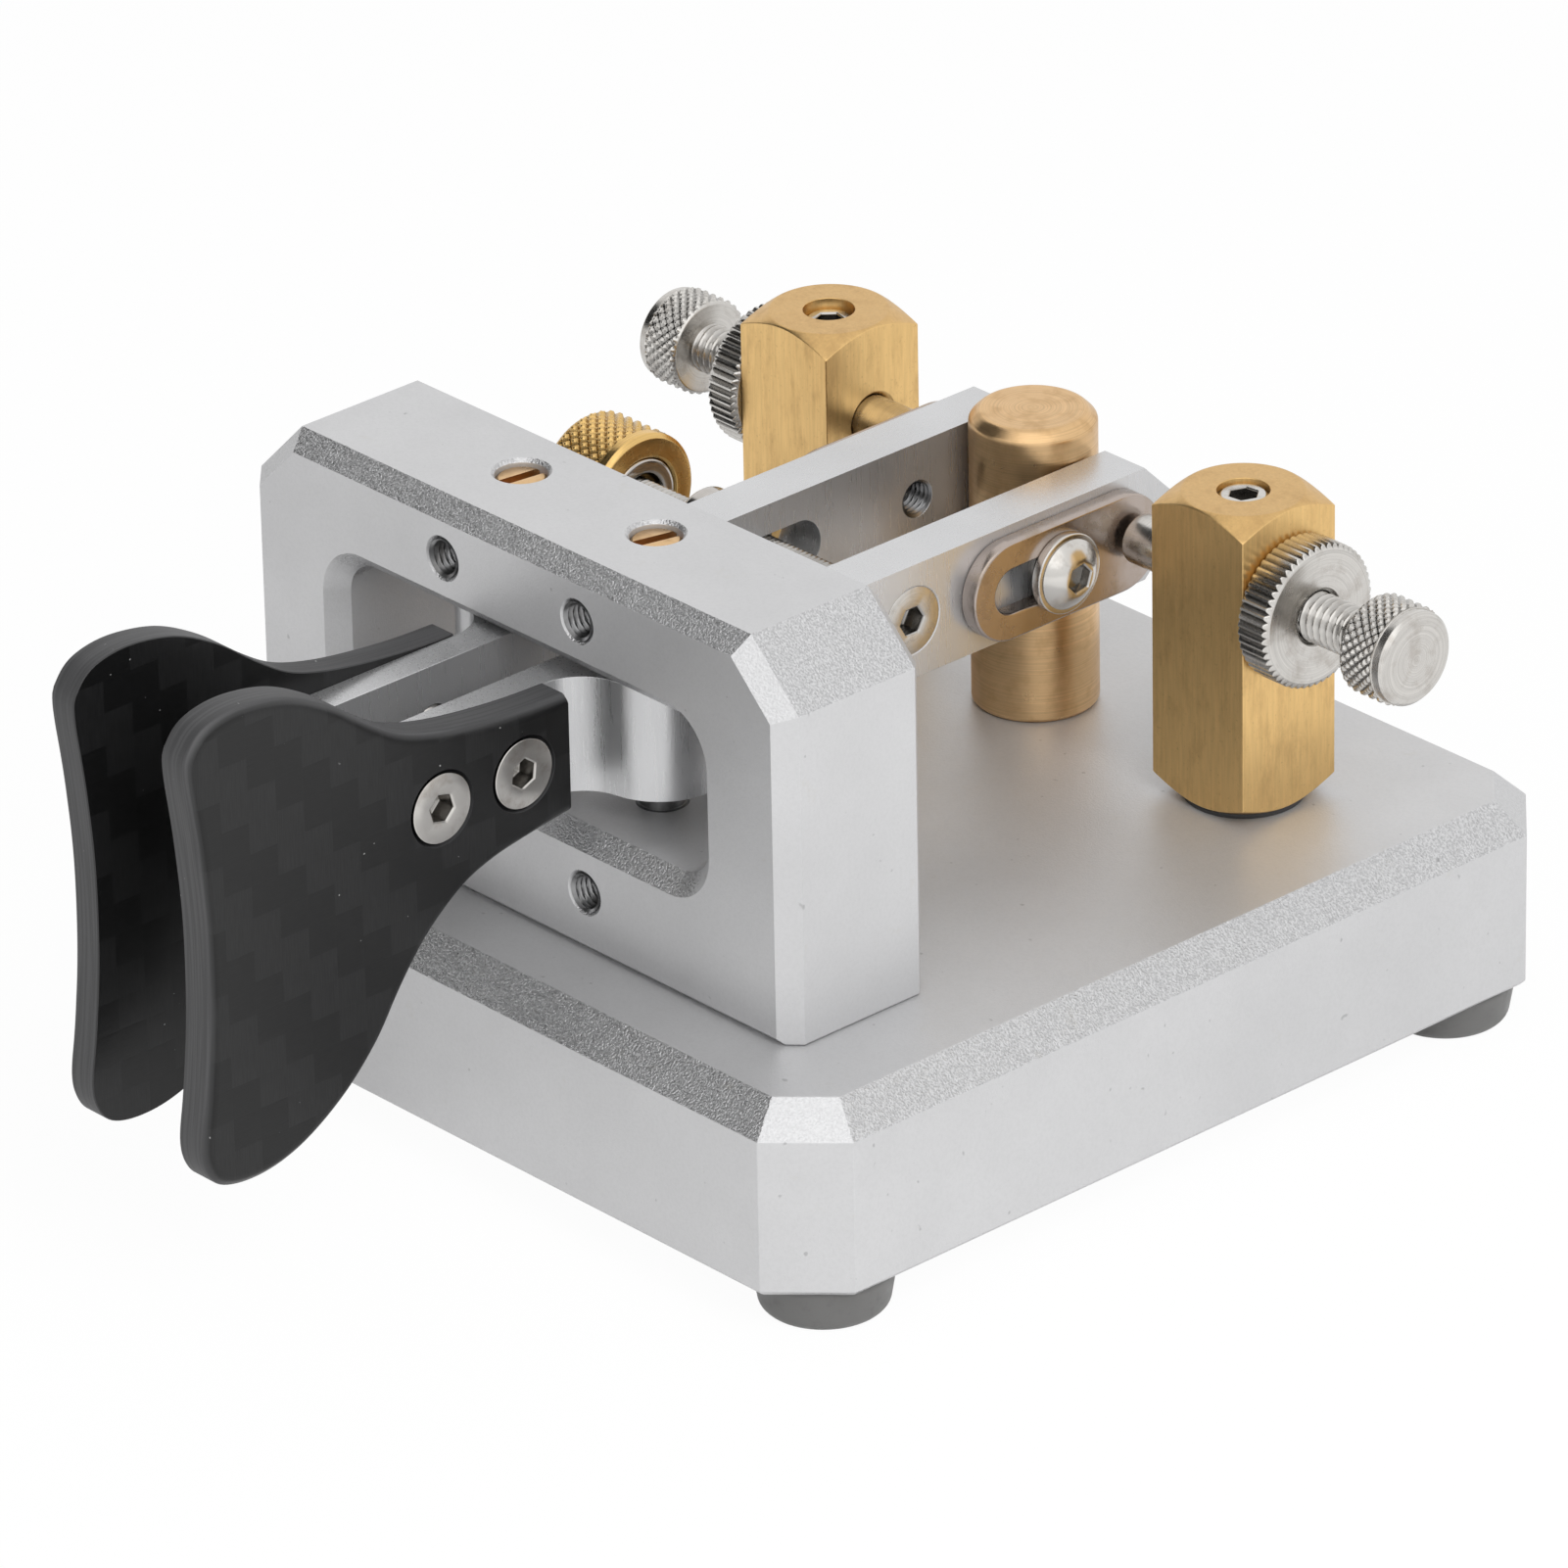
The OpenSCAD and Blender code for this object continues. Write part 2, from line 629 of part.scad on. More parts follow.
// Plain pin in the yoke's lower limb, with a collar under the lever and a journal inside it
module lower_pivot_pins() {
    color("dimgray") for (side = [-1, 1]) translate([side * pivot_x, pivot_y, window_low]) {
        collar_h = lever_float + lift(side) - face_gap;
        translate([0, 0, -pin_stub_len]) cylinder(h = pin_stub_len, d = pivot_screw_d);
        cylinder(h = collar_h, d = collar_d);
        cylinder(h = collar_h + journal_depth, d = journal_d);
    }
}

// Short set screws behind the yoke's front face that lock the pivots
module pivot_lock_screws() {
    end_y = pivot_y - pivot_screw_d / 2 - face_gap;
    color("gray") for (x = [-pivot_x, pivot_x], z = [lower_lock_z, upper_lock_z])
        translate([x, end_y - lock_screw_len, z]) rotate([90, 0, 0]) difference() {
            translate([0, 0, -lock_screw_len]) cylinder(h = lock_screw_len, d = small_screw_d);
            hex_socket(lock_socket_af, lock_socket_depth);
        }
}

// Round blend, as high as a lever, between the boss and the arm face at x = face_x.
// out tells the side of the face that it lies on, and way is 1 behind the pivot or -1 ahead of it.
module arm_fillet(face_x, out, way, r) {
    root_x = face_x - out * front_arm_t / 2;
    centre_x = face_x + out * r;
    centre_y = pivot_y + way * sqrt(pow(boss_r + r, 2) - pow(centre_x - pivot_x, 2));
    difference() {
        union() {
            linear_extrude(lever_h) polygon([[root_x, centre_y], [centre_x, centre_y], [pivot_x, pivot_y]]);
            linear_extrude(lever_h) polygon([[root_x, centre_y], [pivot_x, pivot_y], [root_x, pivot_y]]);
        }
        translate([centre_x, centre_y, -cut_over]) cylinder(h = lever_h + 2 * cut_over, r = r);
    }
}

// Arms, boss and blends of the right-hand lever, standing on z = 0
module lever_block() {
    translate([front_arm_in, front_arm_end, 0]) cube([front_arm_t, pivot_y - front_arm_end, lever_h]);
    translate([rear_arm_in, pivot_y, 0]) cube([rear_arm_t, rear_arm_end - pivot_y, lever_h]);
    translate([pivot_x, pivot_y, 0]) cylinder(h = lever_h, r = boss_r);
    arm_fillet(front_arm_out, 1, -1, front_fillet_r);
    arm_fillet(rear_arm_out, 1, 1, rear_fillet_r);
    arm_fillet(rear_arm_in, -1, 1, rear_fillet_r);
}

// Lever seen from the side: cut corners at the end of the rear arm
module lever_side() {
    corner_y = rear_arm_end - rear_arm_corner;
    polygon([[front_arm_end, lever_low], [corner_y, lever_low], [rear_arm_end, lever_low + rear_arm_corner],
        [rear_arm_end, lever_high - rear_arm_corner], [corner_y, lever_high], [front_arm_end, lever_high]]);
}

// Holes that both levers have: journals, finger piece screws and contact plate screw
module lever_holes() {
    tapped_d = small_screw_d + 2 * thread_gap;
    journal_room = journal_depth + face_gap;
    for (z = [lever_low - cut_over, lever_high - journal_room]) translate([pivot_x, pivot_y, z])
        cylinder(h = journal_room + cut_over, d = journal_d + 2 * running_gap);
    for (y = finger_screw_ys) translate([0, y, lever_mid_z])
        bar_x(front_arm_in - cut_over, front_arm_out + cut_over, tapped_d);
    translate([0, plate_screw_y, lever_mid_z])
        bar_x(rear_arm_in - cut_over, rear_arm_out + cut_over, tapped_d);
}

module lever_body() {
    difference() {
        intersection() {
            translate([0, 0, lever_low]) lever_block();
            rotate([90, 0, 90]) linear_extrude(pivot_x + 2 * boss_r) lever_side();
        }
        lever_holes();
    }
}

module right_lever() {
    color("lightgray") difference() {
        lever_body();
        translate([rear_arm_out, tension_y, tension_z]) rotate([0, 90, 0])
            flat_head_hole(rear_arm_t + cut_over, thread_gap);
    }
}

module left_lever() {
    color("lightgray") difference() {
        on_lever(-1) lever_body();
        translate([-rear_arm_out - cut_over, tension_y, lever_mid_z + left_lift]) rotate([90, 0, 90])
            linear_extrude(rear_arm_t + 2 * cut_over) obround(tension_slot_len, tension_slot_h);
    }
}

// What the bevel takes off a right-hand finger piece: a three-sided bar that follows its outline
module finger_bevel_bar() {
    last = len(finger_points) - 1;
    path = concat([finger_points[0] + [cut_over, 0]], finger_points, [finger_points[last] + [cut_over, 0]]);
    outside = drawn_in(path, -cut_over / 2);
    inside = drawn_in(path, finger_bevel + cut_over / 2);
    rings = len(path);
    points = [for (i = [0 : rings - 1]) each [
        [finger_out - finger_bevel - cut_over / 2, outside[i].x, outside[i].y],
        [finger_out + cut_over / 2, inside[i].x, inside[i].y],
        [finger_out + cut_over / 2, outside[i].x, outside[i].y]]];
    sides = [for (i = [0 : rings - 2], k = [0 : 2]) let (a = 3 * i + k, b = 3 * i + (k + 1) % 3)
        [a, a + 3, b + 3, b]];
    polyhedron(points, concat(sides, [[0, 1, 2], [for (k = [1 : 3]) 3 * rings - k]]));
}

module finger_piece(side) {
    color([0.12, 0.12, 0.13]) on_lever(side) difference() {
        translate([front_arm_out, 0, 0]) rotate([90, 0, 90])
            linear_extrude(finger_t) polygon(finger_points);
        finger_bevel_bar();
        for (y = finger_screw_ys) translate([finger_out, y, lever_mid_z]) rotate([0, 90, 0])
            flat_head_hole(finger_t + cut_over, hole_gap);
    }
}

module right_finger_piece() { finger_piece(1); }
module left_finger_piece() { finger_piece(-1); }

module finger_screws(side) {
    color("silver") on_lever(side) for (y = finger_screw_ys)
        translate([finger_out, y, lever_mid_z]) rotate([0, 90, 0])
            flat_head_screw(finger_t + front_arm_t - face_gap);
}

module right_finger_screws() { finger_screws(1); }
module left_finger_screws() { finger_screws(-1); }

// Slotted plate on the rear arm's outer face that the contact screw meets
module contact_plate(side) {
    slot_mid = plate_slot_inset + (plate_slot_len - plate_len) / 2;
    color("tan") on_lever(side) translate([rear_arm_out, plate_mid_y, lever_mid_z])
        rotate([90, 0, 90]) linear_extrude(plate_t) difference() {
            obround(plate_len, plate_h);
            translate([slot_mid, 0]) obround(plate_slot_len, plate_slot_h);
        }
}

module right_contact_plate() { contact_plate(1); }
module left_contact_plate() { contact_plate(-1); }

module plate_washer(side) {
    color("silver") on_lever(side) translate([0, plate_screw_y, lever_mid_z]) difference() {
        bar_x(plate_out, plate_out + small_washer_t, small_washer_d);
        bar_x(plate_out - cut_over, plate_out + small_washer_t + cut_over, small_screw_d + 2 * hole_gap);
    }
}

module right_plate_washer() { plate_washer(1); }
module left_plate_washer() { plate_washer(-1); }

// Button screw that clamps the contact plate, its domed head on the washer
module plate_screw(side) {
    dome_r = (pow(small_button_head_d / 2, 2) + pow(small_button_head_t, 2)) / (2 * small_button_head_t);
    reach = rear_arm_t + plate_t + small_washer_t - small_edge;
    color("silver") on_lever(side)
        translate([plate_out + small_washer_t, plate_screw_y, lever_mid_z]) rotate([0, 90, 0])
            difference() {
                union() {
                    intersection() {
                        cylinder(h = small_button_head_t, d = small_button_head_d + small_edge);
                        translate([0, 0, small_button_head_t - dome_r]) sphere(dome_r);
                    }
                    translate([0, 0, -reach]) cylinder(h = reach, d = small_screw_d);
                }
                translate([0, 0, small_button_head_t]) hex_socket(small_socket_af, button_socket_depth);
            }
}

module right_plate_screw() { plate_screw(1); }
module left_plate_screw() { plate_screw(-1); }

module centre_post() {
    r = centre_post_d / 2;
    color("peru") translate([0, post_y, base_top]) difference() {
        rotate_extrude() polygon([[0, 0], [r - small_edge, 0], [r, small_edge],
            [r, centre_post_h - centre_post_edge], [r - centre_post_edge, centre_post_h],
            [0, centre_post_h]]);
        translate([0, 0, -cut_over])
            cylinder(h = post_tap_len + cut_over, d = large_screw_d + 2 * thread_gap);
    }
}

// Square bar turned to a cone at both ends, tapped for its contact, lock and fixing screws
module contact_post(side) {
    corner_r = post_w / sqrt(2);
    slope = (corner_r - post_disc_d / 2) * tan(post_bevel_angle);
    across_d = contact_screw_d + 2 * face_gap;
    upright_d = large_screw_d + 2 * thread_gap;
    color("goldenrod") translate([side * post_x, post_y, post_low]) difference() {
        intersection() {
            translate([-post_w / 2, -post_w / 2, 0]) cube([post_w, post_w, post_h]);
            rotate_extrude() polygon([[0, 0], [post_disc_d / 2, 0], [corner_r, slope],
                [corner_r, post_h - slope], [post_disc_d / 2, post_h], [0, post_h]]);
        }
        translate([0, 0, contact_z - post_low]) {
            bar_x(-post_w, post_w, across_d);
            cone_x(-post_w / 2, small_edge - post_w / 2, across_d + 2 * small_edge, across_d);
            cone_x(post_w / 2 - small_edge, post_w / 2, across_d, across_d + 2 * small_edge);
            cylinder(h = post_h, d = upright_d);
        }
        translate([0, 0, -cut_over]) cylinder(h = post_tap_len + cut_over, d = upright_d);
    }
}

module right_contact_post() { contact_post(1); }
module left_contact_post() { contact_post(-1); }

module insulating_washers() {
    color([0.15, 0.15, 0.15]) for (x = [-post_x, post_x]) translate([x, post_y, base_top]) difference() {
        cylinder(h = washer_t, d = washer_d);
        translate([0, 0, -cut_over])
            cylinder(h = washer_t + 2 * cut_over, d = large_screw_d + 2 * hole_gap);
    }
}

// Flanged bushes that keep the post screws clear of the base
module insulating_bushes() {
    color("ivory") for (x = [-post_x, post_x]) translate([x, post_y, pocket_depth]) difference() {
        union() {
            translate([0, 0, -bush_flange_t]) cylinder(h = bush_flange_t, d = bush_flange_d);
            cylinder(h = base_h - pocket_depth, d = bush_d);
        }
        translate([0, 0, -bush_flange_t - cut_over])
            cylinder(h = base_h + 2 * cut_over, d = large_screw_d + 2 * hole_gap);
    }
}

// Height of the underside of the ring terminal below the post at x
function lug_low(x) = pocket_depth - lug_t - (x == 0 ? 0 : bush_flange_t);

module post_screws() {
    color("silver") for (x = [-post_x, 0, post_x]) translate([x, post_y, lug_low(x)]) difference() {
        union() {
            translate([0, 0, -large_pan_head_t]) cylinder(h = large_pan_head_t, d = large_pan_head_d);
            cylinder(h = post_screw_len, d = large_screw_d);
        }
        translate([-large_pan_head_d, -slot_w / 2, -large_pan_head_t - cut_over])
            cube([2 * large_pan_head_d, slot_w, slot_depth + cut_over]);
    }
}

// Ring terminals with tails along the channel: the outer ones point inward, the middle one to the right
module ring_terminals() {
    color("lightgray") for (x = [-post_x, 0, post_x]) translate([x, post_y, lug_low(x)]) difference() {
        union() {
            cylinder(h = lug_t, d = lug_d);
            translate([x > 0 ? -lug_tail_reach : 0, -lug_tail_w / 2, 0])
                cube([lug_tail_reach, lug_tail_w, lug_t]);
        }
        translate([0, 0, -cut_over]) cylinder(h = lug_t + 2 * cut_over, d = large_screw_d + 2 * hole_gap);
    }
}

// Set screws in the posts' tops: the left one bears on its contact screw, the right one is backed off
module post_grub_screws() {
    seated_top = contact_z + contact_screw_d / 2 + 2 * face_gap + grub_len;
    color("silver") for (side = [-1, 1])
        translate([side * post_x, post_y, seated_top + (side > 0 ? grub_back_off : 0)]) difference() {
            union() {
                translate([0, 0, -grub_len]) cylinder(h = grub_len - tip_edge, d = large_screw_d);
                translate([0, 0, -tip_edge])
                    cylinder(h = tip_edge, d1 = large_screw_d, d2 = large_screw_d - 2 * tip_edge);
            }
            hex_socket(small_socket_af, socket_depth);
        }
}

// Long screw through the post: its head outside, its plain turned end facing the contact plate
module contact_screw(side) {
    head_out = head_in + contact_head_len;
    collar_in = head_out - head_collar_len;
    collar_d = contact_head_d - 2 * knurl_depth;
    color("silver") mirrored(side) translate([0, post_y, contact_z]) {
        cone_x(nose_x, nose_x + tip_edge, contact_screw_d - 2 * tip_edge, contact_screw_d);
        bar_x(nose_x + tip_edge, head_in, contact_screw_d);
        cone_x(head_in, head_in + head_edge, contact_head_d - 2 * head_edge, contact_head_d);
        bar_x(head_in + head_edge, collar_in, contact_head_d);
        bar_x(collar_in, head_out - head_edge, collar_d);
        cone_x(head_out - head_edge, head_out, collar_d, collar_d - 2 * head_edge);
    }
}

module right_contact_screw() { contact_screw(1); }
module left_contact_screw() { contact_screw(-1); }

// Rim of a grooved nut as a ring of points
function grooved_rim(r, depth, count) =
    [for (i = [0 : 2 * count - 1]) let (a = i * 180 / count)
        (i % 2 == 0 ? r : r - depth) * [cos(a), sin(a)]];

module lock_nut(side) {
    root_d = lock_nut_d - 2 * knurl_depth - small_edge;
    bore_d = contact_screw_d + 2 * face_gap;
    grooves = round(PI * lock_nut_d / lock_nut_groove_pitch);
    color("silver") mirrored(side) translate([lock_nut_in, post_y, contact_z]) rotate([0, 90, 0])
        difference() {
            union() {
                cylinder(h = small_edge, d1 = root_d - 2 * small_edge, d2 = root_d);
                translate([0, 0, small_edge]) linear_extrude(lock_nut_t - 2 * small_edge)
                    polygon(grooved_rim(lock_nut_d / 2, knurl_depth, grooves));
                translate([0, 0, lock_nut_t - small_edge])
                    cylinder(h = small_edge, d1 = root_d, d2 = root_d - 2 * small_edge);
            }
            translate([0, 0, -cut_over]) cylinder(h = lock_nut_t + 2 * cut_over, d = bore_d);
        }
}

module right_lock_nut() { lock_nut(1); }
module left_lock_nut() { lock_nut(-1); }

// Countersunk screw from the right lever, through the left one, to the tension nut
module tension_screw() {
    color("silver") translate([rear_arm_out, tension_y, tension_z]) rotate([0, 90, 0])
        flat_head_screw(tension_screw_len);
}

// Knurled thumb nut with a recess for its magnet in the face towards the levers
module tension_nut() {
    collar_d = nut_d - 2 * knurl_depth;
    color("goldenrod") translate([-nut_in, tension_y, tension_z]) rotate([0, -90, 0]) difference() {
        union() {
            cylinder(h = small_edge, d1 = collar_d - 2 * small_edge, d2 = collar_d);
            translate([0, 0, small_edge]) cylinder(h = nut_collar_len - small_edge, d = collar_d);
            translate([0, 0, nut_collar_len]) cylinder(h = nut_len - nut_collar_len - head_edge, d = nut_d);
            translate([0, 0, nut_len - head_edge])
                cylinder(h = head_edge, d1 = nut_d, d2 = nut_d - 2 * head_edge);
        }
        translate([0, 0, -cut_over]) {
            cylinder(h = magnet_len + cut_over, d = magnet_d + 2 * thread_gap);
            cylinder(h = nut_len + 2 * cut_over, d = small_screw_d + 2 * thread_gap);
        }
    }
}

// Ring magnet from x = a to x = b, with rounded-off edges and a hole that clears the tension screw
module ring_magnet(a, b) {
    rim_d = magnet_d - 2 * small_edge;
    color("gray") translate([0, tension_y, tension_z]) difference() {
        union() {
            cone_x(a, a + small_edge, rim_d, magnet_d);
            bar_x(a + small_edge, b - small_edge, magnet_d);
            cone_x(b - small_edge, b, magnet_d, rim_d);
        }
        bar_x(a - cut_over, b + cut_over, magnet_hole_d);
    }
}

module nut_magnet() { ring_magnet(-nut_in - magnet_len, -nut_in); }
module lever_magnet() { ring_magnet(-rear_arm_out - magnet_len, -rear_arm_out); }

module jack_socket() {
    color([0.15, 0.15, 0.15]) translate([0, jack_body_front, jack_z]) difference() {
        union() {
            translate([-jack_body_w / 2, 0, -jack_body_h / 2])
                cube([jack_body_w, jack_body_len, jack_body_h]);
            rotate([-90, 0, 0]) cylinder(h = base_d - jack_body_front, d = jack_neck_d);
            for (k = [-1, 0, 1]) translate([k * jack_tag_pitch, -jack_tag_len, jack_tag_drop])
                translate([-jack_tag_w / 2, 0, -jack_tag_t / 2])
                    cube([jack_tag_w, 2 * jack_tag_len, jack_tag_t]);
        }
        translate([0, base_d - jack_body_front - jack_bore_len, 0]) rotate([-90, 0, 0])
            cylinder(h = jack_bore_len + cut_over, d = jack_bore_d);
    }
}

module jack_ring_nut() {
    color("silver") translate([0, jack_nut_y, jack_z]) rotate([-90, 0, 0]) difference() {
        cylinder(h = jack_nut_t, d = jack_nut_d);
        translate([0, 0, -cut_over])
            cylinder(h = jack_nut_t + 2 * cut_over, d = jack_neck_d + 2 * thread_gap);
        for (a = [0, 90]) rotate([0, 0, a]) translate([-jack_nut_d, -jack_nut_notch_w / 2, jack_nut_t / 2])
            cube([2 * jack_nut_d, jack_nut_notch_w, jack_nut_t]);
    }
}

// Route of a wire from below a terminal's tail to a tag of the jack, which it meets in line with the tag.
// Its middle points are shares of the way between the two, and its first run drops to the tags' height.
wire_way_shares = [0.3, 0.65, 0.9];
wire_swing_shares = [0.9, 1, 0.5];
function wire_route(from, to, swing) =
    let (ahead = to - [0, 1.5 * wire_d, 0])
    concat([from],
        [for (k = [0 : len(wire_way_shares) - 1])
            let (way = wire_way_shares[k], sideways = swing * wire_swing_shares[k])
            [from.x + (ahead.x - from.x) * way,
                from.y + (ahead.y - from.y) * pow(way, 2) + sideways,
                ahead.z + (from.z - ahead.z) * pow(1 - way, 2)]],
        [ahead, to]);

// Round tube swept along a smooth curve through the points of a route
module swept_tube(route, d) {
    last = len(route) - 1;
    path = [for (i = [0 : last - 1], k = [0 : wire_steps - 1])
        curve_point(route[max(i - 1, 0)], route[i], route[i + 1], route[min(i + 2, last)], k / wire_steps),
        route[last]];
    rings = len(path);
    points = [for (i = [0 : rings - 1])
        let (run = path[min(i + 1, rings - 1)] - path[max(i - 1, 0)], along = run / norm(run),
             level = cross(along, [0, 0, 1]), side = level / norm(level), rise = cross(side, along))
        for (k = [0 : wire_sides - 1]) let (a = 360 * k / wire_sides)
            path[i] + d / 2 * (cos(a) * side + sin(a) * rise)];
    walls = [for (i = [0 : rings - 2], k = [0 : wire_sides - 1]) let (n = (k + 1) % wire_sides,
        a = i * wire_sides + k, b = i * wire_sides + n, c = a + wire_sides, e = b + wire_sides)
        each [[a, c, e], [a, e, b]]];
    first_cap = [for (k = [0 : wire_sides - 1]) k];
    last_cap = [for (k = [0 : wire_sides - 1]) rings * wire_sides - 1 - k];
    polyhedron(points, concat(walls, [first_cap, last_cap]));
}

// Insulated wires from the three terminals to the jack's tags
module internal_wires() {
    colours = ["firebrick", "black", "ivory"];
    for (k = [0 : 2]) {
        x = [-post_x, 0, post_x][k];
        tail_x = x > 0 ? x - lug_tail_reach + wire_d : x + lug_tail_reach - wire_d;
        from = [tail_x, post_y - (x == 0 ? wire_d : 0), lug_low(x) - wire_d / 2 - face_gap];
        to = [(k - 1) * jack_tag_pitch, jack_body_front - jack_tag_len - rest_gap, jack_z + jack_tag_drop];
        swing = x == 0 ? -channel_w / 6 : channel_w / 12;
        color(colours[k]) swept_tube(wire_route(from, to, swing), wire_d);
    }
}

placed() {
    base_plate();
    rubber_feet();
    yoke();
    yoke_screws();
    pivot_screws();
    lower_pivot_pins();
    pivot_lock_screws();
    right_lever();
    left_lever();
    right_finger_piece();
    left_finger_piece();
    right_finger_screws();
    left_finger_screws();
    right_contact_plate();
    left_contact_plate();
    right_plate_washer();
    left_plate_washer();
    right_plate_screw();
    left_plate_screw();
    centre_post();
    right_contact_post();
    left_contact_post();
    insulating_washers();
    insulating_bushes();
    post_screws();
    ring_terminals();
    post_grub_screws();
    right_contact_screw();
    left_contact_screw();
    right_lock_nut();
    left_lock_nut();
    tension_screw();
    tension_nut();
    nut_magnet();
    lever_magnet();
    jack_socket();
    jack_ring_nut();
    internal_wires();
}
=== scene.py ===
"""Finished surfaces of a double paddle key, with its knurls, threads and woven pieces, and a studio.

Lengths are in metres. X points to the operator's right, Y to the back and Z up.
"""

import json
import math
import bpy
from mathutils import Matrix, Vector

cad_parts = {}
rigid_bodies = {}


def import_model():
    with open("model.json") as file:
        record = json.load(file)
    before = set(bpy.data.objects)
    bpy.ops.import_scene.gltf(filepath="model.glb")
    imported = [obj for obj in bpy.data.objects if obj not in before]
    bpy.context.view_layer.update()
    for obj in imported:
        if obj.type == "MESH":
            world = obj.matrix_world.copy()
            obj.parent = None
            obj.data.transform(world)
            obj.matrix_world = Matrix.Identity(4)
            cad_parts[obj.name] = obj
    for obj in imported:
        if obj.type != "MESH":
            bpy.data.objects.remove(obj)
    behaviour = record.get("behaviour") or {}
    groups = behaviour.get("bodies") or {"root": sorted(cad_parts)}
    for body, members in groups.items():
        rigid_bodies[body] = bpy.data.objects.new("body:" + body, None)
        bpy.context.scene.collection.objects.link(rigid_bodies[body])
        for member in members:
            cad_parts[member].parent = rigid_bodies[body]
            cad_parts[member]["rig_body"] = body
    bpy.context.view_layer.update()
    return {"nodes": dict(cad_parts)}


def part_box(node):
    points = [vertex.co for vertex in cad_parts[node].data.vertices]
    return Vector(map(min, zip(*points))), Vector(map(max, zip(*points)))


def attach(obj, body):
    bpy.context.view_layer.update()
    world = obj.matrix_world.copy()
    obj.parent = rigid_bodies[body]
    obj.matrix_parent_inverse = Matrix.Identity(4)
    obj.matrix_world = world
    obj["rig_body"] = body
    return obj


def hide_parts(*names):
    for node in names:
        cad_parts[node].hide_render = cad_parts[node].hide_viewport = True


bl_info = {
    "name": "Double Paddle Key Finishes",
    "version": (1, 0, 0),
    "blender": (4, 5, 0),
    "location": "3D View > Sidebar > Paddle Key",
    "description": "Finished surfaces, knurls, threads and a studio for a double paddle key",
    "category": "Object",
}

from functools import partial

import bmesh
import bpy
import numpy as np
from mathutils import Matrix, Vector

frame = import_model()
NODES = frame["nodes"]

MM = 0.001
MERGE_GAP = 0.001 * MM
FLAT_TURN = math.radians(0.5)
EASED_TURN = math.radians(25)
SHARP_TURN = math.radians(42)
RIGHT, BACK, UP = Vector((1, 0, 0)), Vector((0, 1, 0)), Vector((0, 0, 1))
SIDES = ((1, "right"), (-1, "left"))
ROUND, HEXAGON = 0.0, 1.0
# Recess value of a ring that the finishes darken with painted shade
PAINTED_SHADE = 1.0

# Most of an outline's edge that rounding its corner may take
MOST_OF_RUN = 0.45
# Share of a thread's pitch that its crest keeps, and the length over which a knurl fades out
THREAD_FLAT = 0.12
KNURL_FADE = 0.15 * MM
# Mesh steps across one groove or tooth
GROOVE_STEPS = 8
# Bevel at the mouth of a hexagon socket
SOCKET_LEAD = 0.12 * MM

WHITE, FLOOR_WHITE = (1, 1, 1, 1), (0.86, 0.86, 0.86, 1)
# The camera's place in metres, its azimuth, elevation and roll in degrees, and its lens in mm
CAMERA_PLACE = (0.626987, -0.556825, 0.447933)
CAMERA_VIEW = (47.892, 26.81)
CAMERA_ROLL = -1.138
CAMERA_LENS = 285.28


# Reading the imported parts

def face_middle(box, direction):
    """Middle of the face of a box that a direction along X, Y or Z points at."""
    low, high = box
    middle = (low + high) / 2
    return Vector([high[k] if way > 0 else low[k] if way < 0 else middle[k]
                   for k, way in enumerate(direction)])


def turned_size(node):
    """Radius and length of a piece that is turned about X."""
    low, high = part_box(node)
    return (high.z - low.z) / 2, high.x - low.x


def merged_mesh(node):
    """A node's mesh as a bmesh with its seams closed and its flat faces whole."""
    work = bmesh.new()
    work.from_mesh(NODES[node].data)
    bmesh.ops.remove_doubles(work, verts=work.verts, dist=MERGE_GAP)
    bmesh.ops.dissolve_limit(work, angle_limit=FLAT_TURN, verts=work.verts, edges=work.edges)
    return work


def solid_boxes(node):
    """Boxes of the separate solids in a node, sorted by x, then y, then z."""
    work = merged_mesh(node)
    left = set(work.verts)
    boxes = []
    while left:
        reached = [left.pop()]
        found = list(reached)
        while reached:
            vert = reached.pop()
            near = [edge.other_vert(vert) for edge in vert.link_edges]
            fresh = [other for other in near if other in left]
            left.difference_update(fresh)
            reached.extend(fresh)
            found.extend(fresh)
        places = np.array([vert.co for vert in found])
        boxes.append((Vector(places.min(0)), Vector(places.max(0))))
    work.free()
    return sorted(boxes, key=lambda box: tuple(round(value / MM, 1) for value in box[0]))


def turned_corners(node, start, direction, within=1.0):
    """(along, radius) corners of a node's solid that is turned about a line, from its own vertices."""
    rings = {}
    for vert in NODES[node].data.vertices:
        reach = vert.co - start
        along = reach.dot(direction)
        radius = (reach - along * direction).length
        if radius > within:
            continue
        rings.setdefault(round(along / MM, 2), set()).add(round(radius / MM, 2))
    corners = []
    for along in sorted(rings):
        radii = sorted({min(rings[along]), max(rings[along])})
        if corners and abs(radii[-1] - corners[-1][1]) < abs(radii[0] - corners[-1][1]):
            radii.reverse()
        corners += [(along, radius) for radius in radii]
    return [(along * MM, radius * MM) for along, radius in corners]


# Making meshes

def mesh_piece(name, mesh):
    """A new object that holds a mesh."""
    piece = bpy.data.objects.new(name, mesh)
    bpy.context.scene.collection.objects.link(piece)
    return piece


def bmesh_piece(name, work):
    """A new object from a bmesh, which is freed."""
    mesh = bpy.data.meshes.new(name)
    work.to_mesh(mesh)
    work.free()
    return mesh_piece(name, mesh)


def apply_modifiers(piece):
    """Makes what the modifiers show the piece's own mesh."""
    bpy.context.view_layer.update()
    graph = bpy.context.evaluated_depsgraph_get()
    shown = bpy.data.meshes.new_from_object(piece.evaluated_get(graph), depsgraph=graph)
    piece.modifiers.clear()
    piece.data = shown
    return piece


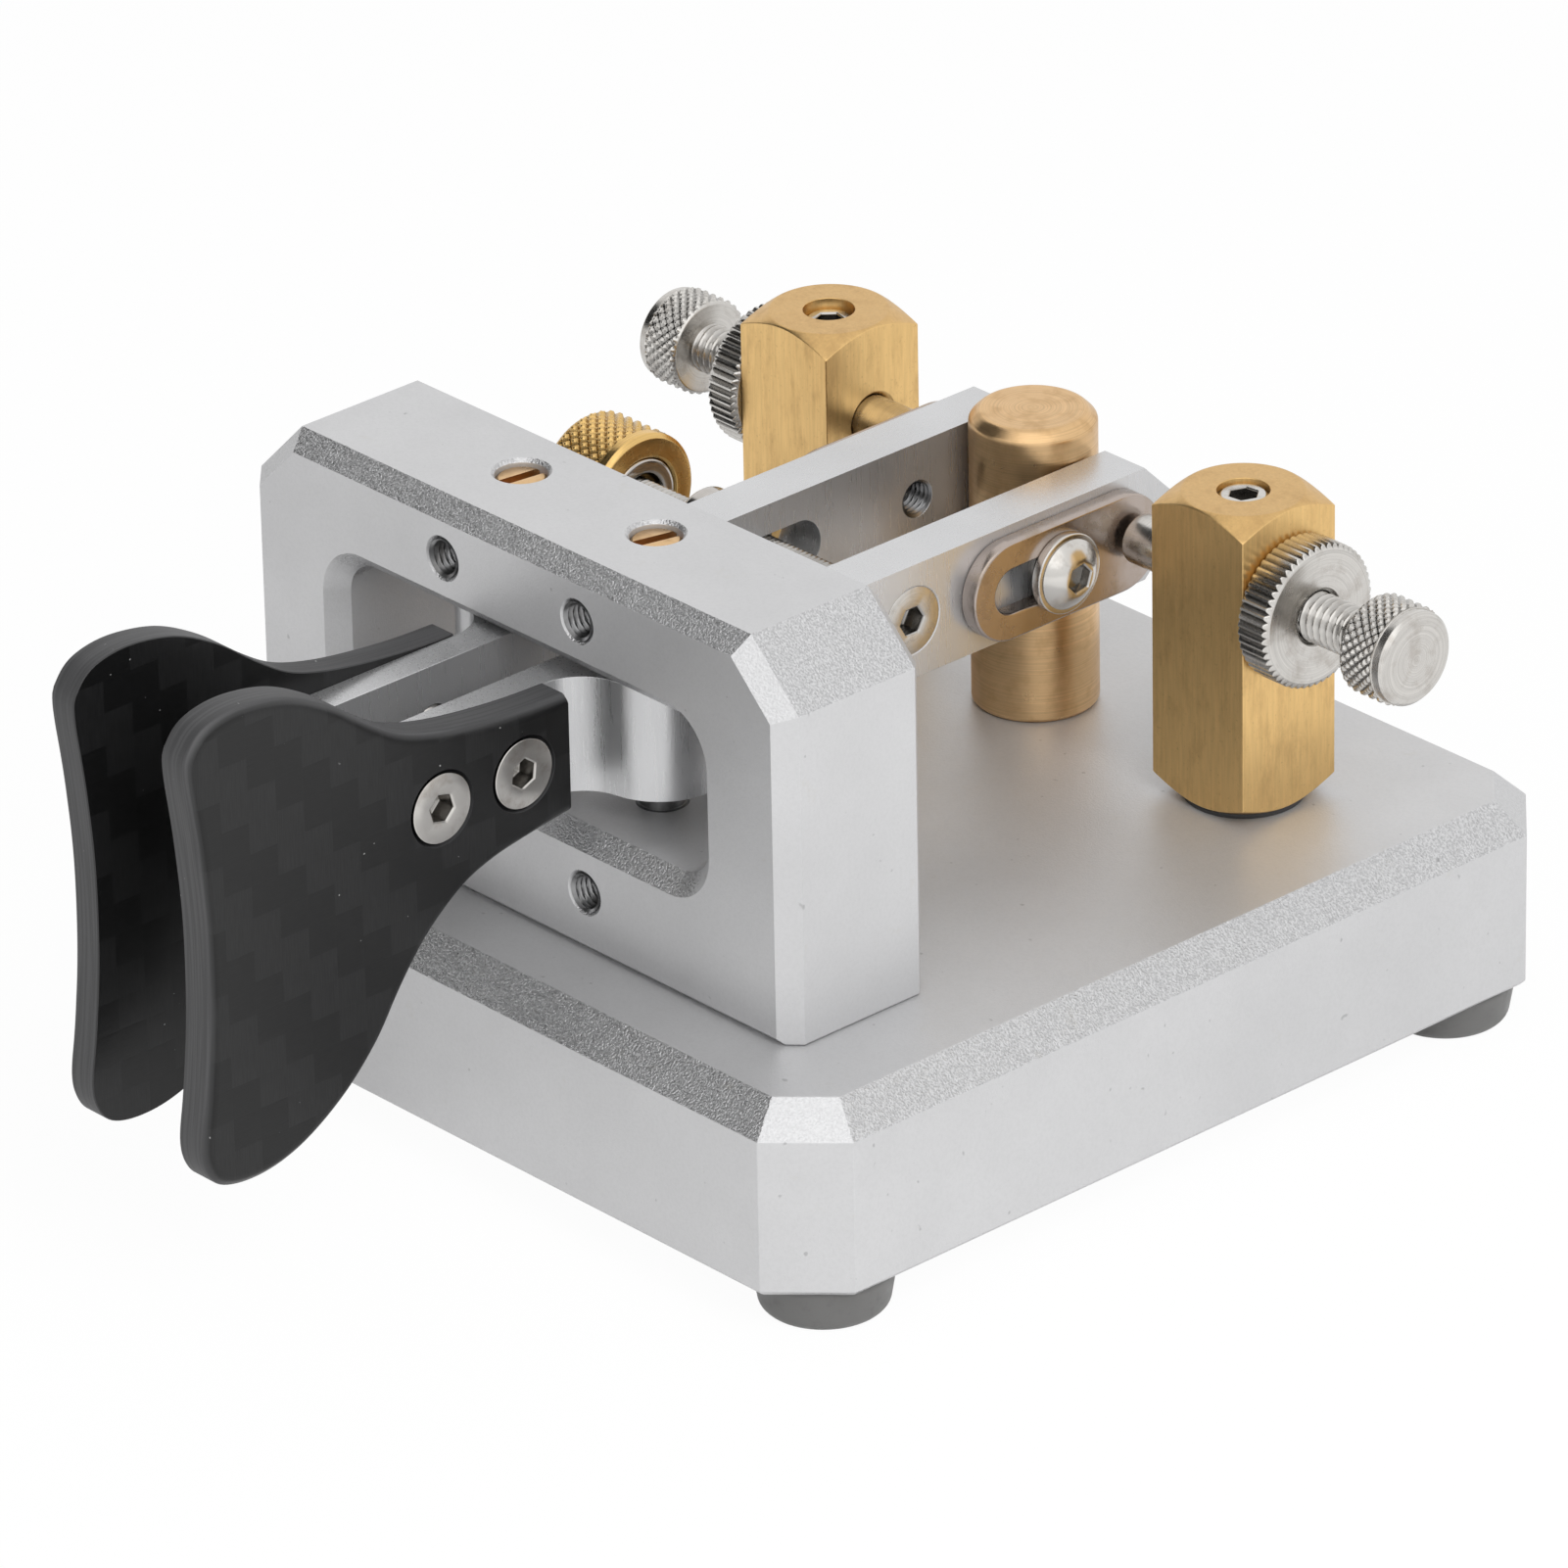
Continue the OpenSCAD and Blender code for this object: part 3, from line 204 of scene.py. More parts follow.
def smooth(piece):
    """Shades a piece smoothly, with true flats and sharp corners where faces turn hard."""
    for polygon in piece.data.polygons:
        polygon.use_smooth = True
    piece.data.set_sharp_from_angle(angle=SHARP_TURN)
    weighted = piece.modifiers.new("flats", "WEIGHTED_NORMAL")
    weighted.keep_sharp = True
    weighted.weight = 80
    return apply_modifiers(piece)


def eased(piece, width, steps=2):
    """Rounds every hard edge of a piece by a small bevel."""
    bevel = piece.modifiers.new("ease", "BEVEL")
    bevel.width = width
    bevel.segments = steps
    bevel.limit_method = "ANGLE"
    bevel.angle_limit = EASED_TURN
    bevel.miter_outer = "MITER_ARC"
    return apply_modifiers(piece)


def eased_copy(node, width, steps=2):
    """A node's shape with its hard edges rounded."""
    return smooth(eased(bmesh_piece(node + ".finish", merged_mesh(node)), width, steps))


def outline(corners):
    """Outline points as (along, radius, shape, recess), with what is left out at zero."""
    return [Vector((*corner, 0, 0)[:4]) for corner in corners]


def rounded(corners, radius, steps=3):
    """An outline with its corners rounded."""
    points = outline(corners)
    soft = [points[0]]
    for before, corner, after in zip(points, points[1:], points[2:]):
        runs = [(near.xy - corner.xy).length for near in (before, after)]
        reach = min(radius, *(run * MOST_OF_RUN for run in runs))
        if reach < MERGE_GAP or corner.y < MERGE_GAP:
            soft.append(corner)
            continue
        start, end = corner.lerp(before, reach / runs[0]), corner.lerp(after, reach / runs[1])
        for k in range(steps + 1):
            t = k / steps
            soft.append((1 - t) ** 2 * start + 2 * t * (1 - t) * corner + t ** 2 * end)
    return soft + [points[-1]]


def stepped(points, start, end, step):
    """The outline with extra points between two places along it, where grooves are cut."""
    fine = [points[0]]
    for before, after in zip(points, points[1:]):
        span = after.x - before.x
        shares = {1.0}
        if abs(span) > MERGE_GAP and min(before.y, after.y) > MERGE_GAP:
            first, last = sorted(min(1.0, max(0.0, (edge - before.x) / span)) for edge in (start, end))
            count = math.ceil(abs(span) * (last - first) / step)
            if count:
                shares.update(first + (last - first) * k / count for k in range(count + 1))
        fine += [before.lerp(after, share) for share in sorted(shares) if share > 0]
    return fine


def skin(work, rings, closed=False):
    """Faces from each ring of vertices to the next. A pole is a ring of one vertex, repeated."""
    for low, high in zip(rings, rings[1:] + rings[:1] if closed else rings[1:]):
        for k, start in enumerate(low):
            n = (k + 1) % len(low)
            loop = list(dict.fromkeys((start, low[n], high[n], high[k])))
            if len(loop) > 2:
                work.faces.new(loop)
    bmesh.ops.recalc_face_normals(work, faces=work.faces)


def turned(name, points, segments=60, ring=False):
    """A solid of revolution about Z. Its outline runs from the axis to the axis, or round a ring.

    A shape of HEXAGON at a point makes that ring a hexagon of the same width across its flats. The mesh
    keeps two attributes for its finish: recess, which is set where the finish paints shade into the
    hollows, and turning, which holds each point's turn about Z, its radius and its place along Z.
    """
    angles = np.arange(segments) * (2 * math.pi / segments)
    flat = np.cos(np.mod(angles, math.pi / 3) - math.pi / 6)
    work = bmesh.new()
    rings, recesses = [], []
    for along, radius, shape, recess in points:
        if radius < MERGE_GAP:
            rings.append([work.verts.new((0, 0, along))] * segments)
            recesses.append(recess)
            continue
        reach = radius * (1 - shape + shape / flat)
        rings.append([work.verts.new((x, y, along))
                      for x, y in zip(reach * np.cos(angles), reach * np.sin(angles))])
        recesses += [recess] * segments
    skin(work, rings, ring)
    piece = bmesh_piece(name, work)
    piece.data.attributes.new("recess", "FLOAT", "POINT").data.foreach_set("value", recesses)
    across, deep, along = np.array([vert.co for vert in piece.data.vertices]).T
    marks = np.column_stack([np.abs(np.arctan2(deep, across)) * MM, np.hypot(across, deep), along])
    layer = piece.data.attributes.new("turning", "FLOAT_VECTOR", "POINT")
    layer.data.foreach_set("vector", marks.astype(np.float32).ravel())
    return piece


def put(piece, place, direction):
    """Moves a piece made on the Z axis to its place, with its axis along a direction."""
    turn = Vector(direction).to_track_quat("Z", "Y").to_matrix().to_4x4()
    piece.data.transform(Matrix.Translation(place) @ turn)
    return piece


def cut(piece, *tools):
    """Takes other pieces away from a piece."""
    for tool in tools:
        carve = piece.modifiers.new("cut", "BOOLEAN")
        carve.operation = "DIFFERENCE"
        carve.solver = "EXACT"
        carve.object = tool
    apply_modifiers(piece)
    for tool in tools:
        bpy.data.objects.remove(tool)
    return piece


def slot_tool(place, direction, width, depth, length):
    """Box that cuts a slot of a given depth below a place, along a level direction."""
    turn = Matrix.Rotation(math.atan2(direction[1], direction[0]), 4, "Z")
    size = Matrix.Diagonal((length, width, 2 * depth, 1))
    work = bmesh.new()
    bmesh.ops.create_cube(work, size=1, matrix=Matrix.Translation(place) @ turn @ size)
    return bmesh_piece("slot", work)


def settle(piece, slot, nodes, body=None):
    """Lets a finished piece ride on its body and stand for its nodes, which are hidden. The slot is not
    used.
    """
    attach(piece, body or NODES[nodes[0]]["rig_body"])
    if nodes:
        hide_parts(*nodes)
    return piece


def paint(piece, material):
    """Gives a whole piece one material."""
    piece.data.materials.clear()
    piece.data.materials.append(material)
    return piece


def dress(node, slot, width, steps=2):
    """Replaces a node by its own shape with eased edges and the finish of a slot."""
    return settle(paint(eased_copy(node, width, steps), finish(slot)), slot, [node])


# Node trees

def add_node(tree, kind, feeds=None, **settings):
    """A node with its settings made and its inputs linked or set."""
    node = tree.nodes.new(kind)
    for name, value in settings.items():
        setattr(node, name, value)
    for key, value in (feeds or {}).items():
        if isinstance(value, bpy.types.NodeSocket):
            tree.links.new(value, node.inputs[key])
        else:
            node.inputs[key].default_value = value
    return node


def maths(tree, operation, *values, clamp=False):
    """Result of a maths node on up to three values."""
    node = add_node(tree, "ShaderNodeMath", dict(enumerate(values)), operation=operation, use_clamp=clamp)
    return node.outputs[0]


def tree_inputs(tree, floats):
    """Declares a geometry tree's named inputs and returns the group input's sockets."""
    tree.interface.new_socket("Geometry", in_out="INPUT", socket_type="NodeSocketGeometry")
    for name, value in floats.items():
        socket = tree.interface.new_socket(name, in_out="INPUT", socket_type="NodeSocketFloat")
        socket.default_value = value
    tree.interface.new_socket("Finish", in_out="INPUT", socket_type="NodeSocketMaterial")
    tree.interface.new_socket("Geometry", in_out="OUTPUT", socket_type="NodeSocketGeometry")
    return tree.nodes.new("NodeGroupInput").outputs


def close_tree(tree, geometry, given):
    """Ends a geometry tree in plain geometry with its finish."""
    plain = add_node(tree, "GeometryNodeRealizeInstances", {"Geometry": geometry})
    coated = add_node(tree, "GeometryNodeSetMaterial", {
        "Geometry": plain.outputs[0], "Material": given["Finish"]})
    add_node(tree, "NodeGroupOutput", {"Geometry": coated.outputs[0]})


def run_tree(piece, tree, **values):
    """Runs a geometry tree on a piece with named inputs and keeps the result as its mesh."""
    modifier = piece.modifiers.new(tree.name, "NODES")
    modifier.node_group = tree
    for item in tree.interface.items_tree:
        if item.in_out == "INPUT" and item.name.replace(" ", "_") in values:
            modifier[item.identifier] = values[item.name.replace(" ", "_")]
    return apply_modifiers(piece)


def relief_tree():
    """Cuts crossed or single grooves into a turned mesh that stands on the Z axis.

    Side is 1 for an outside and -1 for a bore. Count is the number of grooves met in one turn, Rise and
    Fall are their turns for each metre along the axis, and Flat is the share left between two grooves.
    """
    name = "cut_grooves"
    if name in bpy.data.node_groups:
        return bpy.data.node_groups[name]
    tree = bpy.data.node_groups.new(name, "GeometryNodeTree")
    given = tree_inputs(tree, {"Side": 1, "Radius": 1, "Start": 0, "End": 1, "Fade": 0.1, "Depth": 0.1,
                               "Count": 1, "Rise": 1, "Fall": 1, "Flat": 0})
    reckon = partial(maths, tree)
    place = add_node(tree, "GeometryNodeInputPosition").outputs[0]
    across, deep, along = add_node(tree, "ShaderNodeSeparateXYZ", {0: place}).outputs
    radius = reckon("SQRT", reckon("MULTIPLY_ADD", across, across, reckon("MULTIPLY", deep, deep)))
    turn = reckon("DIVIDE", reckon("ARCTAN2", deep, across), 2 * math.pi)
    passed = reckon("MULTIPLY", turn, given["Count"])
    waves = []
    for slope in (given["Rise"], given["Fall"]):
        phase = reckon("FRACT", reckon("SUBTRACT", reckon("MULTIPLY", along, slope), passed))
        waves.append(reckon("ABSOLUTE", reckon("MULTIPLY_ADD", phase, 2.0, -1.0)))
    ridge = reckon("SUBTRACT", reckon("MAXIMUM", *waves), given["Flat"])
    groove = reckon("DIVIDE", ridge, reckon("SUBTRACT", 1.0, given["Flat"]), clamp=True)
    begun, ended = [reckon("DIVIDE", reckon("SUBTRACT", far, near), given["Fade"], clamp=True)
                    for far, near in ((along, given["Start"]), (given["End"], along))]
    within = reckon("MULTIPLY", begun, ended)
    depth = reckon("MULTIPLY", given["Depth"], reckon("MULTIPLY", groove, within))
    limit = reckon("SUBTRACT", reckon("MULTIPLY", given["Side"], given["Radius"]), depth)
    full = reckon("MULTIPLY", given["Side"], radius)
    excess = reckon("MULTIPLY", reckon("MAXIMUM", reckon("SUBTRACT", full, limit), 0.0),
                    reckon("GREATER_THAN", within, 0.0))
    kept = reckon("MULTIPLY", given["Side"], reckon("SUBTRACT", full, excess))
    scale = reckon("DIVIDE", kept, reckon("MAXIMUM", radius, MERGE_GAP))
    moved = add_node(tree, "ShaderNodeCombineXYZ", {
        0: reckon("MULTIPLY", across, scale), 1: reckon("MULTIPLY", deep, scale), 2: along})
    # Deeper grooves get a higher recess, which the finishes darken with painted shade
    before = add_node(tree, "GeometryNodeInputNamedAttribute", {"Name": "recess"}, data_type="FLOAT")
    recess = reckon("MAXIMUM", before.outputs[0], reckon("DIVIDE", excess, given["Depth"], clamp=True))
    stored = {"Geometry": given["Geometry"], "Name": "recess", "Value": recess}
    marked = add_node(tree, "GeometryNodeStoreNamedAttribute", stored, data_type="FLOAT", domain="POINT")
    shaped = add_node(tree, "GeometryNodeSetPosition", {
        "Geometry": marked.outputs[0], "Position": moved.outputs[0]})
    close_tree(tree, shaped.outputs[0], given)
    return tree


def copies_tree():
    """Sets a copy of one master piece on each point of a mesh, each turned some degrees more."""
    name = "set_copies"
    if name in bpy.data.node_groups:
        return bpy.data.node_groups[name]
    tree = bpy.data.node_groups.new(name, "GeometryNodeTree")
    given = tree_inputs(tree, {"Turn": 0, "First turn": 0})
    tree.interface.new_socket("Master", in_out="INPUT", socket_type="NodeSocketObject")
    master = add_node(tree, "GeometryNodeObjectInfo", {"Object": given["Master"]},
                      transform_space="ORIGINAL")
    number = add_node(tree, "GeometryNodeInputIndex").outputs[0]
    degrees = maths(tree, "MULTIPLY_ADD", number, given["Turn"], given["First turn"])
    spin = add_node(tree, "ShaderNodeCombineXYZ", {2: maths(tree, "RADIANS", degrees)})
    instances = add_node(tree, "GeometryNodeInstanceOnPoints", {
        "Points": given["Geometry"], "Instance": master.outputs["Geometry"], "Rotation": spin.outputs[0]})
    close_tree(tree, instances.outputs[0], given)
    return tree


def copies(name, master, points, direction, material, turn=0.0, first=0.0):
    """One plain mesh with a copy of a master at each point, its axis along a direction."""
    level = Vector(direction).to_track_quat("Z", "Y").to_matrix()
    work = bmesh.new()
    for point in points:
        work.verts.new(level.transposed() @ Vector(point))
    piece = bmesh_piece(name, work)
    run_tree(piece, copies_tree(), Master=master, Turn=turn, First_turn=first, Finish=material)
    bpy.data.objects.remove(master)
    piece.data.transform(level.to_4x4())
    return smooth(piece)


def replace_by_copies(node, master, direction, label, slot, turn=0.0, first=0.0):
    """Replaces each solid of a node by a copy of a master that starts where the solid does."""
    points = [face_middle(box, -direction) for box in solid_boxes(node)]
    piece = copies(node + ".finish", master, points, direction, finish(label), turn, first)
    return settle(piece, slot, [node])


# Finishes

def shade_of(colour, factor):
    """A colour made darker or lighter."""
    return tuple(min(1.0, part * factor) for part in colour)


class Coat:
    """A material in the making. Layers are laid over its tone, and bumps over its normal.

    Sizes of noise are in millimetres. A layer's colour may be a shade of the base, given as a factor.
    """

    def __init__(self, name, base, metallic, roughness):
        self.material = bpy.data.materials.new(name)
        self.material.use_nodes = True
        self.tree = self.material.node_tree
        self.shader = self.tree.nodes["Principled BSDF"]
        self.base, self.tone, self.normal = base, base, None
        self.feed("Base Color", (*base, 1))
        self.feed("Metallic", metallic)
        self.feed("Roughness", roughness)

    def feed(self, name, value):
        """Sets an input of the shader or links it."""
        if isinstance(value, bpy.types.NodeSocket):
            self.tree.links.new(value, self.shader.inputs[name])
        else:
            self.shader.inputs[name].default_value = value

    def maths(self, operation, *values):
        """Result of a maths node."""
        return maths(self.tree, operation, *values)

    def parts_of(self, output):
        """X, Y and Z of an output of the object's own coordinates."""
        whole = add_node(self.tree, "ShaderNodeTexCoord").outputs[output]
        return add_node(self.tree, "ShaderNodeSeparateXYZ", {0: whole}).outputs

    def facing(self, axis):
        """How squarely a face looks along an axis, either way."""
        return self.maths("ABSOLUTE", self.parts_of("Normal")[axis])

    def noise(self, size, detail=2, rough=0.5, scale=(1, 1, 1), turn=(0, 0, 0), turning=False):
        """Noise on object coordinates, or round a turned piece on its stored turning marks."""
        if turning:
            place = add_node(self.tree, "ShaderNodeAttribute", attribute_name="turning").outputs["Vector"]
        else:
            place = add_node(self.tree, "ShaderNodeTexCoord").outputs["Object"]
        spread = add_node(self.tree, "ShaderNodeMapping", {
            "Vector": place, "Scale": scale, "Rotation": turn}).outputs[0]
        return add_node(self.tree, "ShaderNodeTexNoise", {
            "Vector": spread, "Scale": 1 / (size * MM), "Detail": detail, "Roughness": rough}).outputs[0]

    def remap(self, value, low, high, to_low=0.0, to_high=1.0):
        """A value spread from one range to another and held there."""
        feeds = dict(enumerate((value, low, high, to_low, to_high)))
        return add_node(self.tree, "ShaderNodeMapRange", feeds).outputs[0]

    def blend(self, share, first, second):
        """Mix of two colours, each given as a socket, as a colour or as a shade of the base."""
        def as_input(value):
            if isinstance(value, bpy.types.NodeSocket):
                return value
            return (*(shade_of(self.base, value) if isinstance(value, float) else value), 1)

        feeds = {0: share, 6: as_input(first), 7: as_input(second)}
        return add_node(self.tree, "ShaderNodeMix", feeds, data_type="RGBA").outputs[2]

    def layer(self, share, colour):
        """Lays a share of a colour over the tone."""
        self.tone = self.blend(share, self.tone, colour)

    def paint_recess_shade(self):
        """Paints shade into the recesses, darker where a point's recess is higher."""
        most, shade = 0.6, 0.3
        recess = add_node(self.tree, "ShaderNodeAttribute", attribute_name="recess").outputs["Fac"]
        self.layer(self.maths("MULTIPLY", recess, most), shade)

    def bump(self, height, depth, strength):
        """Adds a height pattern, some millimetres deep, to the normal."""
        feeds = {"Height": height, "Distance": depth * MM, "Strength": strength}
        if self.normal is not None:
            feeds["Normal"] = self.normal
        self.normal = add_node(self.tree, "ShaderNodeBump", feeds).outputs[0]

    def finished(self, roughness=None):
        """The material, its tone, its normal and any roughness pattern linked."""
        self.feed("Base Color", self.tone)
        self.feed("Normal", self.normal)
        if roughness is not None:
            self.feed("Roughness", roughness)
        return self.material


def blasted_aluminium(name, colours):
    """Bead-blasted metal: fine grain on the flats and coarse, rippled grain on the bevels."""
    coat = Coat(name, colours.aluminium, 1.0, 0.4)
    sloped = [coat.remap(coat.maths("MULTIPLY", coat.facing(level), coat.facing(2)), 0.3, 0.45)
              for level in (1, 0)]
    bevels = coat.maths("MAXIMUM", *sloped)
    fine, coarse = coat.noise(0.16, 3, 0.6), coat.noise(0.18)
    coat.tone = coat.blend(coat.remap(coat.noise(14, 3, 0.6), 0.3, 0.7), 0.95, 1.03)
    coat.layer(coat.remap(fine, 0.3, 0.4, 0.12, 0.0), 0.5)
    grainy = coat.blend(coat.remap(coarse, 0.36, 0.64), 0.81, 1.16)
    coat.layer(coat.maths("MULTIPLY", bevels, 0.9), grainy)
    coat.layer(coat.remap(coat.noise(0.3, 1), 0.4, 0.7, 0.0, 0.1), 0.7)
    coat.layer(coat.remap(coat.noise(4, 5, 0.7), 0.64, 0.74, 0.0, 0.2), colours.aluminium_stain)
    coat.layer(coat.remap(coat.noise(0.9, 1), 0.24, 0.19, 0.0, 0.5), 0.45)
    coat.feed("Metallic", coat.remap(bevels, 0, 1, colours.blasted_gloss, 1.0))
    coat.bump(fine, 0.035, 0.6)
    coat.bump(coarse, 0.13, bevels)
    rough = coat.remap(fine, 0.3, 0.7, 0.4, 0.5)
    return coat.finished(coat.maths("MULTIPLY_ADD", bevels, -0.14, rough))


def machined_aluminium(name, colours):
    """Milled and tumbled metal with faint upright streaks on the walls."""
    coat = Coat(name, colours.milled_aluminium, 0.82, 0.3)
    streaks = coat.noise(0.2, scale=(1, 1, 0.04))
    coat.tone = coat.blend(coat.remap(coat.noise(9, 3), 0.3, 0.7), 0.95, 1.03)
    coat.bump(streaks, 0.003, 0.25)
    coat.bump(coat.noise(0.14), 0.018, 0.6)
    return coat.finished(coat.remap(streaks, 0.3, 0.7, 0.26, 0.33))


def satin_brass(name, colours):
    """Drawn brass bar: upright brushing, warm stains and dull patches, and painted shade on its upward
    faces.
    """
    coat = Coat(name, colours.brass, 1.0, 0.36)
    streaks = coat.noise(0.25, 3, 0.6, scale=(1, 1, 0.06))
    stains = coat.noise(1.5, 5, 0.7, scale=(1, 1, 0.35))
    pits = coat.noise(0.3, 3, 0.6)
    coat.tone = coat.blend(coat.remap(streaks, 0.35, 0.65), 0.92, 1.04)
    coat.layer(coat.remap(stains, 0.5, 0.72, 0.0, 0.4), colours.brass_stain_and_shade)
    coat.layer(coat.remap(pits, 0.62, 0.72, 0.0, 0.4), colours.brass_stain_and_shade)
    # Painted shade on upward faces, in the stain's colour
    coat.layer(coat.remap(coat.facing(2), 0.5, 0.9, 0.0, 0.45), colours.brass_stain_and_shade)
    coat.bump(streaks, 0.005, 0.5)
    coat.bump(pits, 0.012, 0.5)
    return coat.finished(coat.remap(stains, 0.3, 0.75, 0.3, 0.42))


def turned_metal(name, base, rough, stain, marks, stain_share):
    """Metal from the lathe: marks run round the walls and in rings on the ends."""
    coat = Coat(name, base, 1.0, rough)
    rings = coat.noise(1.1, 3, 0.65, scale=(0.5, 12, 12), turning=True)
    cloud = coat.noise(1.6, 3, 0.6)
    coat.tone = coat.blend(coat.remap(rings, 0.35, 0.65), 0.86, 1.08)
    coat.layer(coat.remap(cloud, 0.5, 0.75, 0.0, stain_share), stain)
    # Painted shade in the sockets, grooves and other marked recesses
    coat.paint_recess_shade()
    coat.bump(rings, 0.004, marks)
    return coat.finished(coat.remap(cloud, 0.3, 0.7, rough * 0.8, rough * 1.25))


def polished_metal(name, base, rough, stain):
    """Plated sheet or bar without turning marks: soft haze and a few dull patches."""
    coat = Coat(name, base, 1.0, rough)
    cloud = coat.noise(2.2, 4, 0.6)
    coat.layer(coat.remap(cloud, 0.5, 0.8), stain)
    # Painted shade in the sockets, grooves and other marked recesses
    coat.paint_recess_shade()
    coat.bump(coat.noise(0.15, scale=(1, 0.08, 1), turn=(0.3, 0, 0)), 0.002, 0.4)
    return coat.finished(coat.remap(cloud, 0.3, 0.7, rough * 0.8, rough * 1.3))


def carbon_laminate(name, colours):
    """Twill-woven carbon under clear resin, with its plies showing as lines in the cut edge."""
    coat = Coat(name, colours.carbon, 0.0, 0.34)
    tow, repeat = 2.6 * MM, 4.0
    ways = coat.parts_of("Object")[1:]
    columns, rows = [coat.maths("FLOOR", coat.maths("DIVIDE", way, tow)) for way in ways]
    step = coat.maths("FLOORED_MODULO", coat.maths("ADD", columns, rows), repeat)
    upright = coat.maths("LESS_THAN", step, 1.5)
    along_back, along_up = coat.noise(0.1, scale=(1, 0.05, 1)), coat.noise(0.1, scale=(1, 1, 0.05))
    level_fibres = coat.maths("MULTIPLY", along_back, coat.maths("SUBTRACT", 1.0, upright))
    fibres = coat.maths("ADD", coat.maths("MULTIPLY", along_up, upright), level_fibres)
    plies = coat.noise(0.22, 1, scale=(1, 0.02, 0.02))
    edge = coat.remap(coat.facing(0), 0.85, 0.6)
    coat.tone = coat.blend(upright, 0.8, 1.6)
    coat.layer(coat.remap(fibres, 0.35, 0.65, 0.0, 0.5), 0.45)
    laminate = coat.blend(coat.remap(plies, 0.4, 0.6), shade_of(colours.carbon_edge, 0.72),
                          colours.carbon_edge)
    coat.layer(edge, laminate)
    coat.layer(coat.remap(coat.noise(0.5, 1), 0.8, 0.84), colours.carbon_speck)
    waves = [coat.maths("ABSOLUTE", coat.maths("SINE", coat.maths("MULTIPLY", way, math.pi / tow)))
             for way in ways]
    coat.bump(coat.maths("POWER", coat.maths("MULTIPLY", *waves), 0.4), 0.02, 0.35)
    coat.bump(fibres, 0.01, 0.5)
    coat.feed("Specular IOR Level", 0.35)
    return coat.finished(coat.remap(edge, 0, 1, 0.3, 0.5))


def moulded_plastic(name, base, rough):
    """Fine-grained moulded plastic."""
    coat = Coat(name, base, 0.0, rough)
    cloud = coat.noise(3)
    coat.tone = coat.blend(cloud, 0.85, 1.15)
    coat.bump(coat.noise(0.15), 0.008, 0.5)
    return coat.finished(coat.remap(cloud, 0.3, 0.7, rough * 0.85, rough * 1.15))


def clear_rubber(name, colours):
    """Frosted see-through rubber with a little dust on it."""
    coat = Coat(name, colours.rubber, 0.0, 0.35)
    dust = coat.noise(1.2, 4, 0.7)
    coat.layer(coat.remap(dust, 0.55, 0.8), 0.8)
    coat.bump(coat.noise(0.2, 3), 0.004, 0.5)
    for socket, value in (("Transmission Weight", 0.4), ("IOR", 1.42), ("Subsurface Weight", 0.3),
                          ("Subsurface Radius", (2 * MM, 2 * MM, 2 * MM)), ("Subsurface Scale", 1.0)):
        coat.feed(socket, value)
    return coat.finished(coat.remap(dust, 0.3, 0.7, 0.28, 0.5))


def wire_insulation(name, colours):
    """Three coloured wires, told apart by where they lie from left to right."""
    coat = Coat(name, colours.wire_black, 0.0, 0.4)
    across, _, up = coat.parts_of("Object")
    left_edge, lean = -1.2 * MM, 0.9
    right_of = coat.maths("SUBTRACT", across, coat.maths("MULTIPLY", up, lean))
    coat.layer(coat.maths("LESS_THAN", across, left_edge), colours.wire_red)
    coat.layer(coat.maths("GREATER_THAN", right_of, 0.0), colours.wire_white)
    coat.bump(coat.noise(0.3), 0.01, 0.4)
    return coat.finished()


# The numbers are the roughness and, for a turned metal, the depth of its marks and its share of stain
FINISHES = {
    "blasted_aluminium": blasted_aluminium,
    "machined_aluminium": machined_aluminium,
    "satin_brass": satin_brass,
    "turned_brass": lambda name, c: turned_metal(name, c.turned_brass, 0.34, c.brass_stain_and_shade, 0.6, 0.45),
    "knurled_brass": lambda name, c: turned_metal(name, c.knurled_brass, 0.26, c.brass_stain_and_shade, 0.3, 0.35),
    "pivot_brass": lambda name, c: polished_metal(name, c.turned_brass, 0.3, c.brass_stain_and_shade),
    # Threads at half the milled aluminium's colour: painted shade in the holes
    "tapped_thread": lambda name, c: polished_metal(name, c.thread, 0.3, c.thread_stain),
    "plate_bronze": lambda name, c: polished_metal(name, c.plate, 0.24, c.plate_stain),
    "bright_steel": lambda name, c: polished_metal(name, c.nickel, 0.22, c.nickel_stain),
    "turned_nickel": lambda name, c: turned_metal(name, c.nickel, 0.24, c.nickel_stain, 0.6, 0.5),
    "dark_steel": lambda name, c: polished_metal(name, c.dark_steel, 0.36, c.dark_steel_stain),
    "magnet_nickel": lambda name, c: turned_metal(name, c.magnet, 0.16, c.magnet_stain, 0.15, 0.3),
    "carbon_laminate": carbon_laminate,
    "black_plastic": lambda name, c: moulded_plastic(name, c.black_plastic, 0.45),
    "white_nylon": lambda name, c: moulded_plastic(name, c.nylon, 0.5),
    "clear_rubber": clear_rubber,
    "wire_insulation": wire_insulation,
}


def finish(name):
    """The material of a finish, made when it is first asked for."""
    label = name + "_finish"
    made = bpy.data.materials.get(label)
    return made or FINISHES[name](label, bpy.context.scene.paddle_key_colours)


# Turned pieces

def socketed(width, depth, head, rest):
    """Outline of a screw from the bottom of its hexagon socket, over its head's rim, and on."""
    half = width / 2
    # The socket's rings are marked for painted shade
    return [(depth + 0.35 * half, 0, HEXAGON, PAINTED_SHADE), (depth, half, HEXAGON, PAINTED_SHADE),
            (SOCKET_LEAD, half, HEXAGON, PAINTED_SHADE), (0, half + SOCKET_LEAD, HEXAGON), (0, head), *rest]


